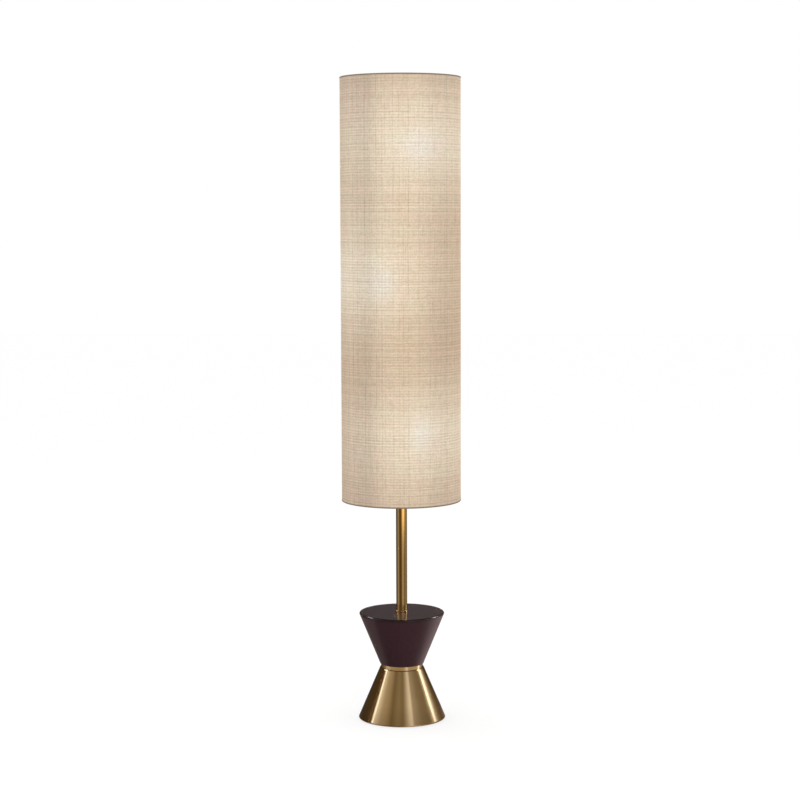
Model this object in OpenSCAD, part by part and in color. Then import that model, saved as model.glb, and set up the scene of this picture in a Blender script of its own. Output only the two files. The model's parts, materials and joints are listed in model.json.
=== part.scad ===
// Floor lamp: a brass cone and a dark wood cone tip to tip carry a brass pole,
// and a tall cloth cylinder hangs round its upper part over three bulbs on side arms.
// The origin is the middle of the base on the floor, +Z is up and the front faces -Y.

/* [Overall] */
// Height of the whole lamp
lamp_h = 1470; // [1400:1:1560]
// Outer diameter of the shade over its trim
shade_d = 274; // [250:1:300]
// Height of the shade
shade_h = 962; // [935:1:1000]

/* [Brass cone] */
// Diameter of the brass cone at its lip
base_d = 200; // [180:1:230]
// Height of the brass cone's top above the floor
cone_h = 119; // [105:1:130]
// Diameter of the brass cone's top
waist_d = 101; // [90:1:110]
// Thickness of the spun brass sheet
sheet_t = 1.2; // [0.8:0.1:1.8]
// Radius of the bead rolled at the lip
lip_r = 1.6; // [1.2:0.1:2]
// Height of the lip's underside above the floor
lip_lift = 1; // [0.6:0.1:1.6]
// Rounding of the cone's top edge
cone_edge_r = 2.8; // [0.6:0.1:3]

/* [Base inside] */
// Thickness of the felt pad
pad_t = 2.5; // [2:0.1:3.5]
// Thickness of the steel bottom plate
plate_t = 1.5; // [1:0.1:2.5]
// Height of the cast weight's wide part
weight_h = 26; // [24:1:40]
// Diameter of the post in the middle of the weight
weight_post_d = 30; // [26:1:40]
// Diameter of the nut recess under the weight
recess_d = 50; // [42:1:60]
// Depth of the nut recess under the weight
recess_h = 12; // [11:1:16]
// Side play between the weight and the brass cone
weight_play = 0.6; // [0.3:0.1:1]
// Radius of the circle of plate screws
screw_circle_r = 60; // [50:1:70]
// Number of plate screws
screw_n = 3; // [3, 4, 6]
// Thread diameter of a plate screw
screw_d = 4; // [3:0.5:5]
// Length of a plate screw
screw_l = 10; // [8:1:14]
// Diameter of a plate screw's head
screw_head_d = 7.6; // [6.5:0.1:9]
// Height of a plate screw's head
screw_head_h = 1.2; // [0.6:0.1:1.4]

/* [Cord bush] */
// Bore of the cord bush
bush_bore_d = 7.5; // [6:0.1:8.5]
// Diameter of the bush where it goes through the wall
bush_d = 11; // [10:0.1:12]
// Diameter of the bush's collars
bush_collar_d = 15; // [14:0.1:16]
// Thickness of a bush collar
bush_collar_t = 2; // [1.5:0.1:2.5]
// Height of the bush's axis above the floor
bush_z = 16; // [14:0.5:18]
// How far the inner collar lies inside the outer one
bush_l = 13; // [12:0.5:16]

/* [Neck and wood] */
// Diameter of the neck ring
neck_d = 96.4; // [88:0.1:100]
// Height of the neck ring
neck_h = 9; // [6:1:18]
// Wall of the neck ring
neck_wall = 8; // [5:0.5:14]
// Diameter of the wood cone's bottom
wood_low_d = 100.2; // [90:0.1:110]
// Diameter of the wood cone's top, where its side would meet it without the rounding
wood_top_d = 198.6; // [170:0.1:220]
// Height of the wood cone
wood_h = 120; // [100:1:150]
// Rounding of the wood cone's top edge
wood_edge_r = 3; // [2:0.1:6]
// Rounding of the wood cone's bottom edge
wood_foot_r = 0.8; // [0.4:0.1:1.5]

/* [Tie rod] */
// Outer diameter of the tie rod and of the arms
pipe_d = 10.2; // [9.6:0.1:11]
// Bore of the tie rod and of the arms
pipe_bore_d = 6.4; // [6:0.1:7]
// Width of the tie rod's nut across its flats
nut_w = 17; // [15:0.5:19]
// Height of the tie rod's nut
nut_h = 6; // [5:0.5:7]
// Diameter of the tie rod's washer
washer_d = 28; // [22:1:34]
// Thickness of the tie rod's washer
washer_t = 1.6; // [1:0.1:2.4]

/* [Column] */
// Diameter of the pole and of the tubes above it
pole_d = 25.4; // [22:0.1:28]
// Wall of the pole and of the tubes above it
pole_wall = 1.2; // [1:0.1:1.6]
// Diameter of the ring at the pole's foot
foot_d = 28.8; // [28.2:0.1:34]
// Height of the ring at the pole's foot
foot_h = 4; // [2:0.1:6]
// Height of the coupler inside the pole's foot
coupler_h = 22; // [16:1:30]
// Diameter of a hub
hub_d = 31; // [30:0.5:36]
// Height of the solid middle of a hub
hub_web_h = 15; // [14:0.5:20]
// Depth of each tube socket in a hub
hub_socket_h = 11; // [8:0.5:14]
// Hole for the lead through a hub
lead_hole_d = 8; // [7:0.1:9]
// Diameter of the cap on the column
cap_d = 30; // [29:0.5:34]
// Thickness of the cap's flange
cap_t = 4; // [3:0.5:6]
// Depth of the cap's plug in the tube
cap_plug_h = 10; // [8:1:14]
// Diameter of the threaded stem that the finial screws on
stem_d = 6.2; // [5.5:0.1:7]

/* [Lights] */
// Height of the lowest bulb's widest part above the shade's bottom edge
light_up = 160; // [157:1:175]
// Rise from the lowest bulb to the middle one
light_rise_1 = 352; // [320:1:360]
// Rise from the middle bulb to the top one
light_rise_2 = 303; // [280:1:310]
// Distance from the column's axis to a socket's axis
arm_reach = 48; // [46:1:56]
// Radius of an arm's bend along its middle line
arm_bend_r = 13; // [11:0.5:16]
// Height of a socket above its arm's level
arm_rise = 19; // [18:0.5:24]
// How far an arm's end reaches into its socket's cup
arm_tail = 8; // [5:0.5:10]

/* [Sockets] */
// Outer diameter of a socket
socket_d = 36; // [34:0.5:38]
// Height of a socket's cup
cup_h = 19; // [16:0.5:22]
// Height that a socket's outer shell shows above its cup
shell_h = 33; // [30:0.5:36]
// Sheet of a socket's cup and shell
socket_t = 0.8; // [0.6:0.1:1.1]
// How far the shell goes down into the cup
shell_lap = 5; // [4:0.5:7]
// Height of a socket's insulating core
core_h = 12; // [10:0.5:14]
// Sheet of a socket's screw shell
screw_shell_t = 0.5; // [0.4:0.1:0.7]
// Height of a socket's screw shell
screw_shell_h = 25; // [22:0.5:27]
// Diameter of a socket's contact
contact_d = 9; // [7:0.5:11]
// Height of a socket's contact above its core
contact_h = 2; // [1:0.1:2.2]

/* [Bulbs] */
// Widest diameter of a bulb
bulb_d = 60; // [52:1:62]
// Length of a bulb with its cap
bulb_l = 108; // [104:1:112]
// Diameter of a bulb's screw cap
bulb_cap_d = 26.2; // [25.6:0.1:26.8]
// Height of a bulb's screw cap
bulb_cap_h = 27; // [25:0.5:29]
// Height of the dark cone under a bulb's screw cap
bulb_tip_h = 5; // [4:0.5:6]
// Thickness of a bulb's glass
bulb_glass_t = 1; // [0.8:0.1:1.2]
// Sheet of a bulb's screw cap
bulb_cap_t = 0.4; // [0.3:0.1:0.6]
// Height of a bulb's straight neck above its cap
bulb_neck_h = 4; // [2:0.5:6]

/* [Switch] */
// Diameter of the switch housing
housing_d = 36; // [34:0.5:40]
// Height of the switch housing
housing_h = 36; // [32:1:42]
// Wall of the switch housing
housing_wall = 2; // [1.5:0.1:2.5]
// Size of the switch body along the shaft
switch_l = 11; // [10:0.5:11]
// Width of the switch body
switch_w = 14; // [12:0.5:16]
// Height of the switch body
switch_h = 18; // [14:0.5:19]
// Diameter of the switch's shaft
shaft_d = 6; // [5:0.5:7]
// Diameter of the knob
knob_d = 17; // [14:0.5:20]
// Length of the knob
knob_l = 12; // [9:0.5:15]
// Clear space between the housing and the knob
knob_gap = 4; // [2:0.5:6]
// Number of grooves round the knob
knob_grooves = 18; // [12:1:24]
// Radius of a groove in the knob
knob_groove_r = 0.7; // [0.5:0.1:0.9]

/* [Shade] */
// Thickness of the trim
trim_t = 0.5; // [0.4:0.1:0.8]
// Height of the trim
trim_h = 3; // [2:0.5:8]
// Thickness of the cloth
cloth_t = 0.8; // [0.6:0.1:1.2]
// Thickness of the liner
liner_t = 0.6; // [0.4:0.1:0.8]
// Diameter of the ring wire
ring_wire_d = 4; // [3:0.2:5]
// Diameter of the spider wire
spoke_d = 3.2; // [2.6:0.2:4]
// Number of spokes in a spider
spoke_n = 3; // [3, 4]
// Depth of the top spider's hub under the shade's top edge
spider_drop = 32; // [30:1:40]
// Diameter of the top spider's hub
spider_hub_d = 26; // [22:1:30]
// Thickness of the top spider's hub
spider_hub_t = 3.6; // [3.6:0.1:5]
// Rise of the bottom spider's sleeve above the shade's bottom edge
sleeve_up = 8; // [7:1:11]
// Height of the bottom spider's sleeve
sleeve_h = 8; // [6:0.5:8]
// Wall of the bottom spider's sleeve
sleeve_wall = 3; // [2:0.5:4]

/* [Finial] */
// Diameter of the finial's ball
finial_ball_d = 15; // [12:0.5:17]
// Diameter of the finial's foot
finial_foot_d = 14; // [12:0.5:16]
// Height of the finial's foot
finial_foot_h = 3; // [2:0.5:4]
// Diameter of the finial's neck
finial_neck_d = 9.6; // [9:0.1:10.5]
// Height of the finial's neck
finial_neck_h = 6; // [4:0.5:7]
// Depth of the finial's threaded hole
finial_hole_h = 14; // [11:0.5:15]

/* [Fits] */
// Clearance on the radius between seated pieces
fit = 0.05; // [0.02:0.01:0.1]
// Gap between pieces that move past each other
play = 0.3; // [0.25:0.05:0.4]
// Clearance on the radius between the bottom spider's sleeve and the pole
sleeve_play = 0.5; // [0.4:0.1:0.8]

/* [Hidden] */
$fn = 96;
// Overlap that makes a cut go clean through
eps = 1;
// Overlap that only keeps two faces from lying in one plane
tiny = 0.01;
// Air between wires, leads and what they lie against
hair = 0.1;
// Air round the bush's collar and the switch body
air = 0.2;

// Base: the pad's inset, the room round the bush, the screws' hexagons and the tie rod's ends
pad_inset = 0.5;
channel_air = 0.5;
hex_depth = 0.7;
rod_end = 1;
rod_short = 4;
lead_slack = 0.6;

// Column: the web over the switch housing's bore, the stem's ends and the arms' distance from the lead
housing_web = 1;
stem_end = 4;
stem_short = 2;
arm_gap = 1;

// Sockets: the cup's neck, rim and floor, the core's waist, disc and top, and the leads' ends in it
cup_neck = 3;
cup_rim = 4;
cup_floor_t = 1.5;
core_waist = 6;
core_disc_h = 4;
core_top_t = 2;
lead_in = 6;

// Bulbs: how deep the glass sits in its cap, and the cap's floor and tip
bulb_seat_h = 6;
bulb_cap_floor_t = 1;
bulb_tip_inset = 3;

// Switch knob and finial: the shaft's end gap, tapers, edges and the ball's seat
shaft_end_gap = 2;
knob_taper = 0.6;
knob_edge_r = 1.2;
finial_taper = 1;
finial_edge_r = 0.8;
finial_sink = 1;

// Spiders: how deep a spoke sits in the hub or sleeve, and its end gap
spoke_root = 3;
spoke_seat = 1;
spoke_short = 0.3;

brass = [0.66, 0.52, 0.30];
dark_wood = [0.20, 0.13, 0.14];
linen = [0.86, 0.78, 0.68];
trim_grey = [0.55, 0.50, 0.46];
steel = [0.62, 0.62, 0.64];
iron = [0.25, 0.25, 0.26];
black = [0.10, 0.10, 0.10];
nickel = [0.78, 0.77, 0.74];

// Radii of the round pieces
base_r = base_d / 2;
waist_r = waist_d / 2;
pole_r = pole_d / 2;
pole_bore_r = pole_r - pole_wall;
pipe_r = pipe_d / 2;
pipe_bore_r = pipe_bore_d / 2;
lead_r = pipe_bore_r - lead_slack;
stem_r = stem_d / 2;

// Brass cone: where its straight side starts, and how it leans
lip_z = lip_lift + lip_r;
cone_slope = (base_r - waist_r) / (cone_h - lip_z);
cone_wall = sheet_t * sqrt(1 + cone_slope * cone_slope);
function cone_r(z) = base_r - (z - lip_z) * cone_slope;

// Base, from the floor up
plate_z = pad_t;
weight_z = plate_z + plate_t;
recess_top_z = weight_z + recess_h;
washer_z = recess_top_z - washer_t;
nut_z = washer_z - nut_h;
tie_rod_z = nut_z - rod_end;
plate_r = base_r - 2 * lip_r - weight_play;
pad_r = plate_r - pad_inset;

// Cord bush: its outer collar just clears the leaning wall under it
bush_out_y = cone_r(bush_z - bush_collar_d / 2) + air + bush_collar_t;
bush_in_y = bush_out_y - bush_l - bush_collar_t;
channel_w = bush_collar_d + 2 * channel_air;
channel_top_z = bush_z + bush_collar_d / 2 + channel_air;

// Neck, wood and column, from the brass cone up
neck_z = cone_h;
wood_z = neck_z + neck_h;
wood_top_z = wood_z + wood_h;
pole_z = wood_top_z + foot_h;
coupler_top_z = pole_z + coupler_h;
tie_rod_top_z = coupler_top_z - rod_short;

// Lights: one bulb right, one left, one right
shade_z = lamp_h - shade_h;
light_z = [
    shade_z + light_up,
    shade_z + light_up + light_rise_1,
    shade_z + light_up + light_rise_1 + light_rise_2
];
light_side = [1, -1, 1];
bulb_r = bulb_d / 2;
function tip_z(i) = light_z[i] - (bulb_l - bulb_r);

// Sockets, measured from the tip of the bulb's contact
contact_top = -play;
core_top = contact_top - contact_h;
cup_bottom = core_top - core_h - arm_tail;
shell_top = cup_bottom + cup_h + shell_h;
function cup_z(i) = tip_z(i) + cup_bottom;
function arm_z(i) = cup_z(i) - arm_rise;

// Hubs and the tubes between them
hub_h = hub_web_h + 2 * hub_socket_h;
function hub_z(i) = arm_z(i) - hub_h / 2;
function web_top_z(i) = arm_z(i) + hub_web_h / 2;
function web_low_z(i) = arm_z(i) - hub_web_h / 2;
housing_z = hub_z(0) + hub_h;
housing_top_z = housing_z + housing_h;
switch_z = housing_z + housing_wall + air;
shaft_z = switch_z + switch_h / 2;
housing_bore_r = housing_d / 2 - housing_wall;
switch_x = sqrt(housing_bore_r * housing_bore_r - switch_w * switch_w / 4) - air;
shaft_in = switch_x - switch_l + shaft_end_gap;

// Top of the column and the shade's fitting
spider_hub_z = lamp_h - spider_drop - spider_hub_t;
cap_top_z = spider_hub_z - play;
cap_z = cap_top_z - cap_t;
finial_z = spider_hub_z + spider_hub_t + play;
stem_top_z = finial_z + finial_hole_h - stem_short;

// Shade walls, from the outside in
shade_r = shade_d / 2;
cloth_r = shade_r - trim_t;
liner_r = cloth_r - cloth_t;
liner_in_r = liner_r - liner_t;
ring_r = liner_in_r - hair - ring_wire_d / 2;
ring_top_z = lamp_h - trim_t - hair - ring_wire_d / 2;
ring_low_z = shade_z + trim_t + hair + ring_wire_d / 2;
// First spoke points to the back
spoke_turn = 90;

// Straight round pipe, standing on z
module pipe(r_out, r_in, z, h) {
    translate([0, 0, z])
        difference() {
            cylinder(r = r_out, h = h);
            translate([0, 0, -eps]) cylinder(r = r_in, h = h + 2 * eps);
        }
}

// Half outline of a cone from radius r0 at z0 to r1 at z1,
// with its top edge rounded by e1 and its bottom edge by e0
module cone_outline(r0, z0, r1, z1, e1, e0 = 0) {
    lean = atan2(r1 - r0, z1 - z0);
    top = [r1 - e1 * tan(lean) - e1 / cos(lean), z1 - e1];
    low = [r0 + e0 * tan(lean) - e0 / cos(lean), z0 + e0];
    side = [cos(lean), -sin(lean)];
    polygon([[0, z0], [low.x, z0], low + e0 * side, top + e1 * side, [top.x, z1], [0, z1]]);
    translate(top) circle(r = e1);
    if (e0 > 0) translate(low) circle(r = e0);
}

module felt_pad() {
    color(black) cylinder(r = pad_r, h = pad_t);
}

module screw_places() {
    for (k = [0 : screw_n - 1])
        rotate([0, 0, -90 + k * 360 / screw_n]) translate([screw_circle_r, 0, plate_z]) children();
}

module base_screw(grow) {
    cylinder(d1 = screw_head_d + 2 * grow, d2 = screw_d + 2 * grow, h = screw_head_h);
    cylinder(d = screw_d + 2 * grow, h = screw_l + grow);
}

module base_plate() {
    color(steel) difference() {
        translate([0, 0, plate_z]) cylinder(r = plate_r, h = plate_t);
        screw_places() translate([0, 0, -tiny]) base_screw(fit);
    }
}

module base_screws() {
    color(steel) screw_places() difference() {
        base_screw(0);
        translate([0, 0, -eps]) cylinder(d = screw_d / 2, h = screw_head_h * hex_depth + eps, $fn = 6);
    }
}

module base_weight() {
    low_r = cone_r(weight_z) - cone_wall - weight_play - lip_r;
    top_r = cone_r(weight_z + weight_h) - cone_wall - weight_play;
    color(iron) difference() {
        union() {
            translate([0, 0, weight_z]) cylinder(r1 = low_r, r2 = top_r, h = weight_h);
            translate([0, 0, weight_z])
                cylinder(d = weight_post_d, h = cone_h - sheet_t - weight_z);
        }
        translate([0, 0, weight_z - eps]) cylinder(d = recess_d, h = recess_h + eps);
        cylinder(r = pipe_r + fit, h = cone_h);
        translate([-channel_w / 2, 0, weight_z - eps])
            cube([channel_w, base_r, channel_top_z - weight_z + eps]);
        screw_places() cylinder(d = screw_d + 2 * fit, h = screw_l + eps);
    }
}

module base_cone() {
    color(brass) difference() {
        rotate_extrude() {
            difference() {
                cone_outline(base_r, lip_z, waist_r, cone_h, cone_edge_r);
                polygon([
                    [-eps, lip_z - eps],
                    [cone_r(lip_z - eps) - cone_wall, lip_z - eps],
                    [cone_r(cone_h - sheet_t) - cone_wall, cone_h - sheet_t],
                    [-eps, cone_h - sheet_t]
                ]);
            }
            translate([base_r - lip_r, lip_z]) circle(r = lip_r);
        }
        translate([0, 0, cone_h - 2 * sheet_t]) cylinder(r = pipe_r + fit, h = 3 * sheet_t);
        translate([0, 0, bush_z])
            rotate([-90, 0, 0]) cylinder(d = bush_d + 2 * fit, h = base_r + eps);
    }
}

module cord_bush() {
    color(black) translate([0, 0, bush_z]) rotate([-90, 0, 0]) difference() {
        union() {
            translate([0, 0, bush_in_y]) cylinder(d = bush_d, h = bush_l + bush_collar_t);
            translate([0, 0, bush_in_y]) cylinder(d = bush_collar_d, h = bush_collar_t);
            translate([0, 0, bush_out_y - bush_collar_t]) cylinder(d = bush_collar_d, h = bush_collar_t);
        }
        translate([0, 0, bush_in_y - eps]) cylinder(d = bush_bore_d, h = bush_l + bush_collar_t + 2 * eps);
    }
}

module tie_nut() {
    color(steel) translate([0, 0, nut_z]) difference() {
        cylinder(d = nut_w / cos(30), h = nut_h, $fn = 6);
        translate([0, 0, -eps]) cylinder(r = pipe_r + fit, h = nut_h + 2 * eps);
    }
}

module tie_washer() {
    color(steel) pipe(washer_d / 2, pipe_r + fit, washer_z, washer_t);
}

module tie_rod() {
    color(steel) pipe(pipe_r, pipe_bore_r, tie_rod_z, tie_rod_top_z - tie_rod_z);
}

module neck_ring() {
    color(brass) pipe(neck_d / 2, neck_d / 2 - neck_wall, neck_z, neck_h);
}

module wood_cone() {
    low_r = wood_low_d / 2;
    top_r = wood_top_d / 2;
    color(dark_wood) difference() {
        rotate_extrude()
            cone_outline(low_r, wood_z, top_r, wood_top_z, wood_edge_r, wood_foot_r);
        translate([0, 0, wood_z - eps]) cylinder(r = pipe_r + fit, h = wood_h + 2 * eps);
    }
}

module foot_ring() {
    color(brass) difference() {
        rotate_extrude()
            cone_outline(foot_d / 2, wood_top_z, foot_d / 2 - tiny, pole_z, foot_h / 3);
        translate([0, 0, wood_top_z - eps]) cylinder(r = pipe_r + fit, h = foot_h + 2 * eps);
    }
}

module pole_coupler() {
    color(steel) pipe(pole_bore_r - fit, pipe_r + fit, pole_z, coupler_h);
}

// One tube of the column between two heights
module column_tube(z0, z1) {
    color(brass) pipe(pole_r, pole_bore_r, z0, z1 - z0);
}

module pole_lower() {
    column_tube(pole_z, web_low_z(0));
}

module pole_middle() {
    column_tube(housing_top_z - hub_socket_h, web_low_z(1));
}

module pole_upper() {
    column_tube(web_top_z(1), web_low_z(2));
}

module pole_top() {
    column_tube(web_top_z(2), cap_z);
}

// Turned hub that joins two tubes and takes an arm on one side
module hub(i) {
    color(brass) difference() {
        translate([0, 0, hub_z(i)]) cylinder(d = hub_d, h = hub_h);
        translate([0, 0, hub_z(i) - eps]) cylinder(r = pole_r + fit, h = hub_socket_h + eps);
        translate([0, 0, web_top_z(i)]) cylinder(r = pole_r + fit, h = hub_socket_h + eps);
        translate([0, 0, web_low_z(i) - eps]) cylinder(d = lead_hole_d, h = hub_web_h + 2 * eps);
        translate([0, 0, arm_z(i)]) rotate([0, 90 * light_side[i], 0])
            cylinder(r = pipe_r + fit, h = hub_d);
    }
}

module switch_housing() {
    color(brass) difference() {
        union() {
            translate([0, 0, housing_z]) cylinder(d = housing_d, h = housing_h);
            translate([0, 0, housing_z - hub_socket_h]) cylinder(r = pole_r, h = hub_socket_h + eps);
        }
        translate([0, 0, housing_z - hub_socket_h - eps])
            cylinder(r = pole_bore_r, h = hub_socket_h + housing_h);
        translate([0, 0, housing_z + housing_wall])
            cylinder(r = housing_bore_r, h = housing_h - housing_wall - hub_socket_h - housing_web);
        translate([0, 0, housing_top_z - hub_socket_h])
            cylinder(r = pole_r + fit, h = hub_socket_h + eps);
        translate([0, 0, shaft_z]) rotate([0, -90, 0])
            cylinder(d = shaft_d + 2 * fit, h = housing_d);
    }
}

module switch_body() {
    color(black) difference() {
        translate([-switch_x, -switch_w / 2, switch_z]) cube([switch_l, switch_w, switch_h]);
        translate([0, 0, shaft_z]) rotate([0, -90, 0])
            translate([0, 0, shaft_in]) cylinder(d = shaft_d + 2 * play, h = housing_d);
    }
}

module knob() {
    knob_in = housing_d / 2 + knob_gap;
    color(brass) translate([0, 0, shaft_z]) rotate([0, -90, 0]) difference() {
        union() {
            translate([0, 0, shaft_in + play]) cylinder(d = shaft_d, h = knob_in + eps - shaft_in - play);
            rotate_extrude()
                translate([0, knob_in])
                    cone_outline(knob_d / 2, 0, knob_d / 2 - knob_taper, knob_l, knob_edge_r);
        }
        for (k = [0 : knob_grooves - 1])
            rotate([0, 0, k * 360 / knob_grooves]) translate([knob_d / 2, 0, knob_in - eps])
                cylinder(r = knob_groove_r, h = knob_l + 2 * eps, $fn = 24);
    }
}

module top_cap() {
    color(brass) difference() {
        union() {
            translate([0, 0, cap_z]) cylinder(d = cap_d, h = cap_t);
            translate([0, 0, cap_z - cap_plug_h]) cylinder(r = pole_bore_r - fit, h = cap_plug_h + eps);
        }
        translate([0, 0, cap_z - cap_plug_h - eps])
            cylinder(r = stem_r + fit, h = cap_plug_h + cap_t + 2 * eps);
    }
}

module top_stem() {
    z = cap_z - cap_plug_h - stem_end;
    color(steel) translate([0, 0, z]) cylinder(r = stem_r, h = stem_top_z - z);
}

// Places children at a socket's axis with z = 0 at the tip of its bulb
module at_socket(i) {
    translate([light_side[i] * arm_reach, 0, tip_z(i)]) children();
}

// Bent round bar from the hub outwards and up into the socket's cup
module bent_bar(i, r, start, end_up) {
    bend_x = arm_reach - arm_bend_r;
    rotate([0, 0, light_side[i] > 0 ? 0 : 180]) translate([0, 0, arm_z(i)]) {
        translate([start, 0, 0]) rotate([0, 90, 0]) cylinder(r = r, h = bend_x - start);
        translate([bend_x, 0, arm_bend_r]) rotate([90, 0, 0]) rotate([0, 0, -90])
            rotate_extrude(angle = 90) translate([arm_bend_r, 0]) circle(r = r);
        translate([arm_reach, 0, arm_bend_r]) cylinder(r = r, h = end_up - arm_bend_r);
    }
}

module arm(i) {
    hub_in = lead_hole_d / 2 + arm_gap;
    color(brass) difference() {
        bent_bar(i, pipe_r, hub_in, arm_rise + arm_tail);
        bent_bar(i, pipe_bore_r, hub_in - eps, arm_rise + arm_tail + eps);
    }
}

// Half outline of the cup: a short neck that widens to the socket's diameter
module cup_outline(shrink) {
    neck_r = pipe_r + cup_neck;
    flare_h = cup_h - shell_lap - cup_rim;
    polygon([
        [0, 0],
        [neck_r - shrink, 0],
        [neck_r - shrink, cup_neck],
        [socket_d / 2 - shrink, flare_h],
        [socket_d / 2 - shrink, cup_h],
        [0, cup_h]
    ]);
}

module socket_cup(i) {
    color(brass) at_socket(i) translate([0, 0, cup_bottom]) difference() {
        rotate_extrude() cup_outline(0);
        rotate_extrude() translate([0, cup_floor_t]) cup_outline(socket_t);
        translate([0, 0, -eps]) cylinder(r = pipe_r + fit, h = cup_h);
    }
}

shell_r = socket_d / 2 - socket_t - fit;
shell_low = cup_bottom + cup_h - shell_lap;

module socket_shell(i) {
    color(brass) at_socket(i) {
        pipe(shell_r, shell_r - socket_t, shell_low, shell_top - shell_low);
    }
}

module socket_core(i) {
    core_r = shell_r - socket_t - fit;
    color(black) at_socket(i) translate([0, 0, core_top - core_h]) difference() {
        union() {
            cylinder(r = core_r - core_waist, h = core_h);
            translate([0, 0, core_h - core_disc_h]) cylinder(r = core_r, h = core_disc_h);
        }
        translate([0, 0, -eps]) cylinder(r = pipe_bore_r, h = core_h - core_top_t + eps);
    }
}

module screw_shell(i) {
    in_r = bulb_cap_d / 2 + play;
    color(nickel) at_socket(i) pipe(in_r + screw_shell_t, in_r, core_top, screw_shell_h);
}

module socket_contacts() {
    color(brass) for (i = [0 : 2])
        at_socket(i) translate([0, 0, core_top]) cylinder(d = contact_d, h = contact_h);
}

module column_lead() {
    color(black) translate([0, 0, tie_rod_z])
        cylinder(r = lead_r, h = arm_z(2) - lead_r - hair - tie_rod_z);
}

module arm_leads() {
    lead_start = lead_r + hair;
    lead_up = arm_rise - cup_bottom + core_top - core_h + lead_in;
    color(black) for (i = [0 : 1])
        bent_bar(i, lead_r, lead_start, lead_up);
    color(black) bent_bar(2, lead_r, 0, lead_up);
}

// Half outline of a bulb's glass: a ball, straight tangents and a neck
module glass_outline(shrink) {
    ball_r = bulb_r - shrink;
    ball_z = bulb_l - bulb_r;
    neck_r = bulb_cap_d / 2 - bulb_cap_t - fit - shrink;
    neck_z = bulb_cap_h + bulb_neck_h;
    away = norm([neck_r, ball_z - neck_z]);
    turn = acos(ball_r / away) - atan2(ball_z - neck_z, neck_r);
    intersection() {
        union() {
            translate([0, ball_z]) circle(r = ball_r);
            polygon([
                [0, bulb_cap_h - bulb_seat_h + shrink],
                [neck_r, bulb_cap_h - bulb_seat_h + shrink],
                [neck_r, neck_z],
                [ball_r * cos(turn), ball_z + ball_r * sin(turn)],
                [0, ball_z]
            ]);
        }
        square([bulb_d, bulb_l + eps]);
    }
}

module bulb_glass(i) {
    color([1, 1, 0.95]) at_socket(i) rotate_extrude() difference() {
        glass_outline(0);
        glass_outline(bulb_glass_t);
    }
}

module bulb_cap(i) {
    cap_r = bulb_cap_d / 2;
    color(nickel) at_socket(i) {
        difference() {
            translate([0, 0, bulb_tip_h]) cylinder(r = cap_r, h = bulb_cap_h - bulb_tip_h);
            translate([0, 0, bulb_tip_h + bulb_cap_floor_t])
                cylinder(r = cap_r - bulb_cap_t, h = bulb_cap_h - bulb_tip_h);
        }
        cylinder(r1 = contact_d / 2, r2 = cap_r - bulb_tip_inset, h = bulb_tip_h);
    }
}

module shade_cloth() {
    color(linen) pipe(cloth_r, liner_r, shade_z + trim_t, shade_h - 2 * trim_t);
}

module shade_liner() {
    color("white") pipe(liner_r, liner_in_r, shade_z + trim_t, shade_h - 2 * trim_t);
}

// Folded edge: a band over the cloth and a narrow rim over the ring
module trim(edge_z, up) {
    rim_r = ring_r - ring_wire_d / 2;
    color(trim_grey) translate([0, 0, edge_z]) mirror([0, 0, up]) {
        pipe(shade_r, rim_r, 0, trim_t);
        pipe(shade_r, cloth_r, 0, trim_h);
    }
}

module trim_top() {
    trim(lamp_h, 1);
}

module trim_bottom() {
    trim(shade_z, 0);
}

module wire_ring(z) {
    color(brass) translate([0, 0, z]) rotate_extrude() translate([ring_r, 0]) circle(d = ring_wire_d);
}

module ring_top() {
    wire_ring(ring_top_z);
}

module ring_bottom() {
    wire_ring(ring_low_z);
}

// Straight spokes from radius r0 at z0 out to the ring at z1
module spokes(r0, z0, z1) {
    r1 = ring_r - ring_wire_d / 2 - hair;
    rise = atan2(z1 - z0, r1 - r0);
    for (k = [0 : spoke_n - 1])
        rotate([0, 0, spoke_turn + k * 360 / spoke_n]) translate([r0, 0, z0])
            rotate([0, 90 - rise, 0]) cylinder(d = spoke_d, h = norm([r1 - r0, z1 - z0]) - spoke_short);
}

module spider_top() {
    color(brass) difference() {
        union() {
            translate([0, 0, spider_hub_z]) cylinder(d = spider_hub_d, h = spider_hub_t);
            spokes(spider_hub_d / 2 - spoke_root, spider_hub_z + spider_hub_t / 2, ring_top_z);
        }
        translate([0, 0, spider_hub_z - eps]) cylinder(r = stem_r + fit, h = spider_hub_t + 2 * eps);
    }
}

module spider_bottom() {
    sleeve_r = pole_r + sleeve_play;
    color(brass) difference() {
        union() {
            translate([0, 0, shade_z + sleeve_up]) cylinder(r = sleeve_r + sleeve_wall, h = sleeve_h);
            spokes(sleeve_r + spoke_seat, shade_z + sleeve_up + sleeve_h / 2, ring_low_z);
        }
        translate([0, 0, shade_z]) cylinder(r = sleeve_r, h = sleeve_up + sleeve_h + eps);
    }
}

module finial() {
    foot_r = finial_foot_d / 2;
    ball_z = finial_foot_h + finial_neck_h + finial_ball_d / 2 - finial_sink;
    color(brass) translate([0, 0, finial_z]) difference() {
        rotate_extrude() {
            cone_outline(foot_r, 0, foot_r - finial_taper, finial_foot_h, finial_edge_r);
            square([finial_neck_d / 2, ball_z]);
            intersection() {
                translate([0, ball_z]) circle(d = finial_ball_d);
                square([finial_ball_d, 2 * ball_z]);
            }
        }
        translate([0, 0, -eps]) cylinder(r = stem_r + fit, h = finial_hole_h + eps);
    }
}

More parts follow.
